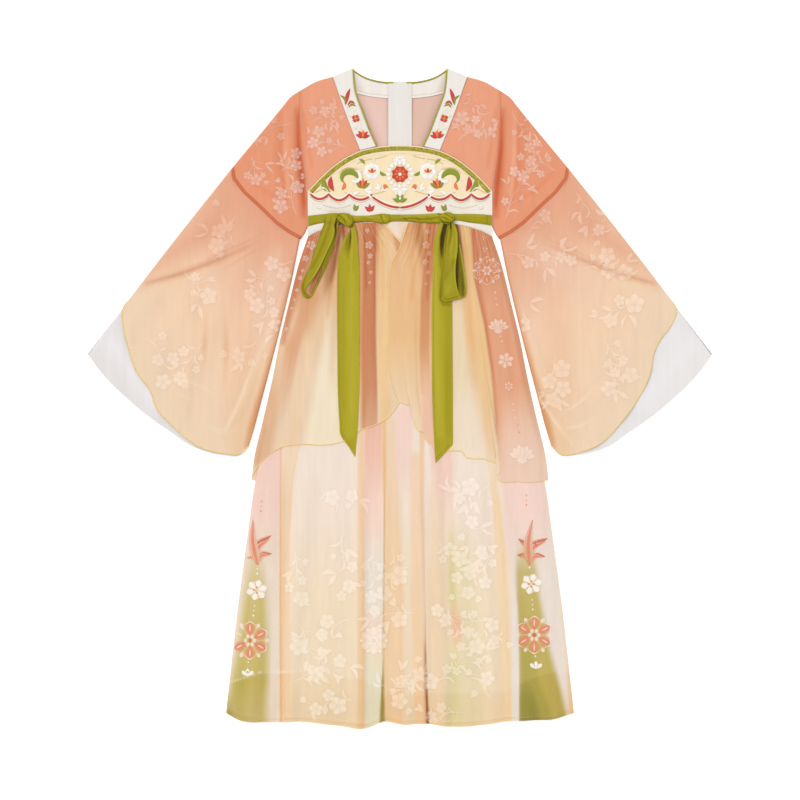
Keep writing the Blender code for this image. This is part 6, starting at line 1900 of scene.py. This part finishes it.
def make_ties(surface):
    """The satin sash with a bow loop and a long tail at each knot."""
    band = make_band(surface)
    left, right = TAIL_LEFT, TAIL_RIGHT
    left_end = ((left[-3][0] + 2.5, left[-3][1] + 4), (left[-1][0] - 0.5, left[-1][1] + 8))
    right_end = ((right[-1][0] + 1, right[-1][1] + 7), (right[-3][2] - 3, right[-3][3] + 3))
    tails = (
        make_tail("left", left, 7, left_end, 120, surface),
        make_tail("right", right, 4, right_end, 122, surface),
    )
    below = Surface(band, *tails, *surface.cloths)
    loops = []
    for name, nodes, rows, across, along, arch, reach, creases, tone_rows, seed in LOOPS:
        loop = ribbon(rows, across, along, below, arch, reach=reach)
        loop.crease(creases)
        loop.dye(tone_rows)
        if seed:
            loop.ripple(seed, 26, 0.3)
        satin(f"sash_loop_{name}", loop, *nodes)
        loops.append(loop)
    below = Surface(band, *loops, *tails)
    for (side, _), rows, creases, hollows in zip(
        SIDES, (KNOT_LEFT, KNOT_RIGHT), (KNOT_CREASES_LEFT, KNOT_CREASES_RIGHT), (
            ((-83, 280, 1.6, 0.5), (-79, 283, 1.2, 0.8), (-77, 287, 1, 0.5)),
            ((66, 291, 1.4, 0.6), (72, 286.5, 1.2, 0.8), (84, 286.5, 1, 0.7)),
        ),
    ):
        knot = ribbon(rows, 40, 50, below, 3, "#9f9419", reach=2)
        knot.crease(creases)
        # Painted shade in the knot's hollows.
        knot.dye([(HOLLOW_SHADE, 1.2, hollows)])
        knot.ripple(111, 9, 0.15)
        satin(f"sash_knot_{side}", knot, f"tie_knot_{side}")


def make_stage():
    """A pale floor, a camera straight above, and soft light from the upper left."""
    mesh = bpy.data.meshes.new("floor")
    corners = [(x, y, -0.0004) for x, y in ((-3, -3), (3, -3), (3, 3), (-3, 3))]
    mesh.from_pydata(corners, [], [(0, 1, 2, 3)])
    floor = bpy.data.objects.new("floor", mesh)
    bpy.context.scene.collection.objects.link(floor)
    # White paper: matt, with a little light of its own so that no corner of the view is grey.
    paper = bpy.data.materials.new("white_paper")
    paper.use_nodes = True
    shader = paper.node_tree.nodes["Principled BSDF"]
    for socket, value in (
        ("Base Color", (0.93, 0.93, 0.93, 1)), ("Roughness", 0.9), ("Specular IOR Level", 0),
        ("Emission Color", (1, 1, 1, 1)), ("Emission Strength", 0.3),
    ):
        shader.inputs[socket].default_value = value
    mesh.materials.append(paper)

    scene = bpy.context.scene
    camera = bpy.data.objects.new("camera", bpy.data.cameras.new("camera"))
    camera.data.lens = 100
    camera.data.sensor_width = 36
    camera.location = (0, -0.005, VIEW * MM * camera.data.lens / camera.data.sensor_width)
    scene.collection.objects.link(camera)
    scene.camera = camera

    lamp = bpy.data.lights.new("softbox", "SUN")
    lamp.energy = 1.2
    lamp.angle = np.radians(45)
    lamp.color = (1, 0.985, 0.965)
    sun = bpy.data.objects.new("softbox", lamp)
    sun.rotation_euler = Vector((-0.55, 0.75, 1.25)).to_track_quat("Z", "Y").to_euler()
    scene.collection.objects.link(sun)
    world = bpy.data.worlds.new("studio")
    world.use_nodes = True
    sky = world.node_tree.nodes["Background"]
    sky.inputs["Color"].default_value = (1, 1, 1, 1)
    sky.inputs["Strength"].default_value = 0.81
    scene.world = world
    scene.view_settings.view_transform = "Standard"


def main():
    make_finishes()
    make_bodice_back()
    collars = make_neck()
    fronts = make_fronts()
    chest = make_chest()
    make_chest_embroidery(chest)
    make_collar_embroidery(collars)
    sleeves = make_sleeves()
    skirt = make_skirt()
    overskirts = make_overskirt(skirt)
    make_prints(sleeves, fronts, skirt, overskirts)
    make_ties(Surface(chest, skirt, *overskirts.values()))
    make_stage()
    declare_sheets()


main()
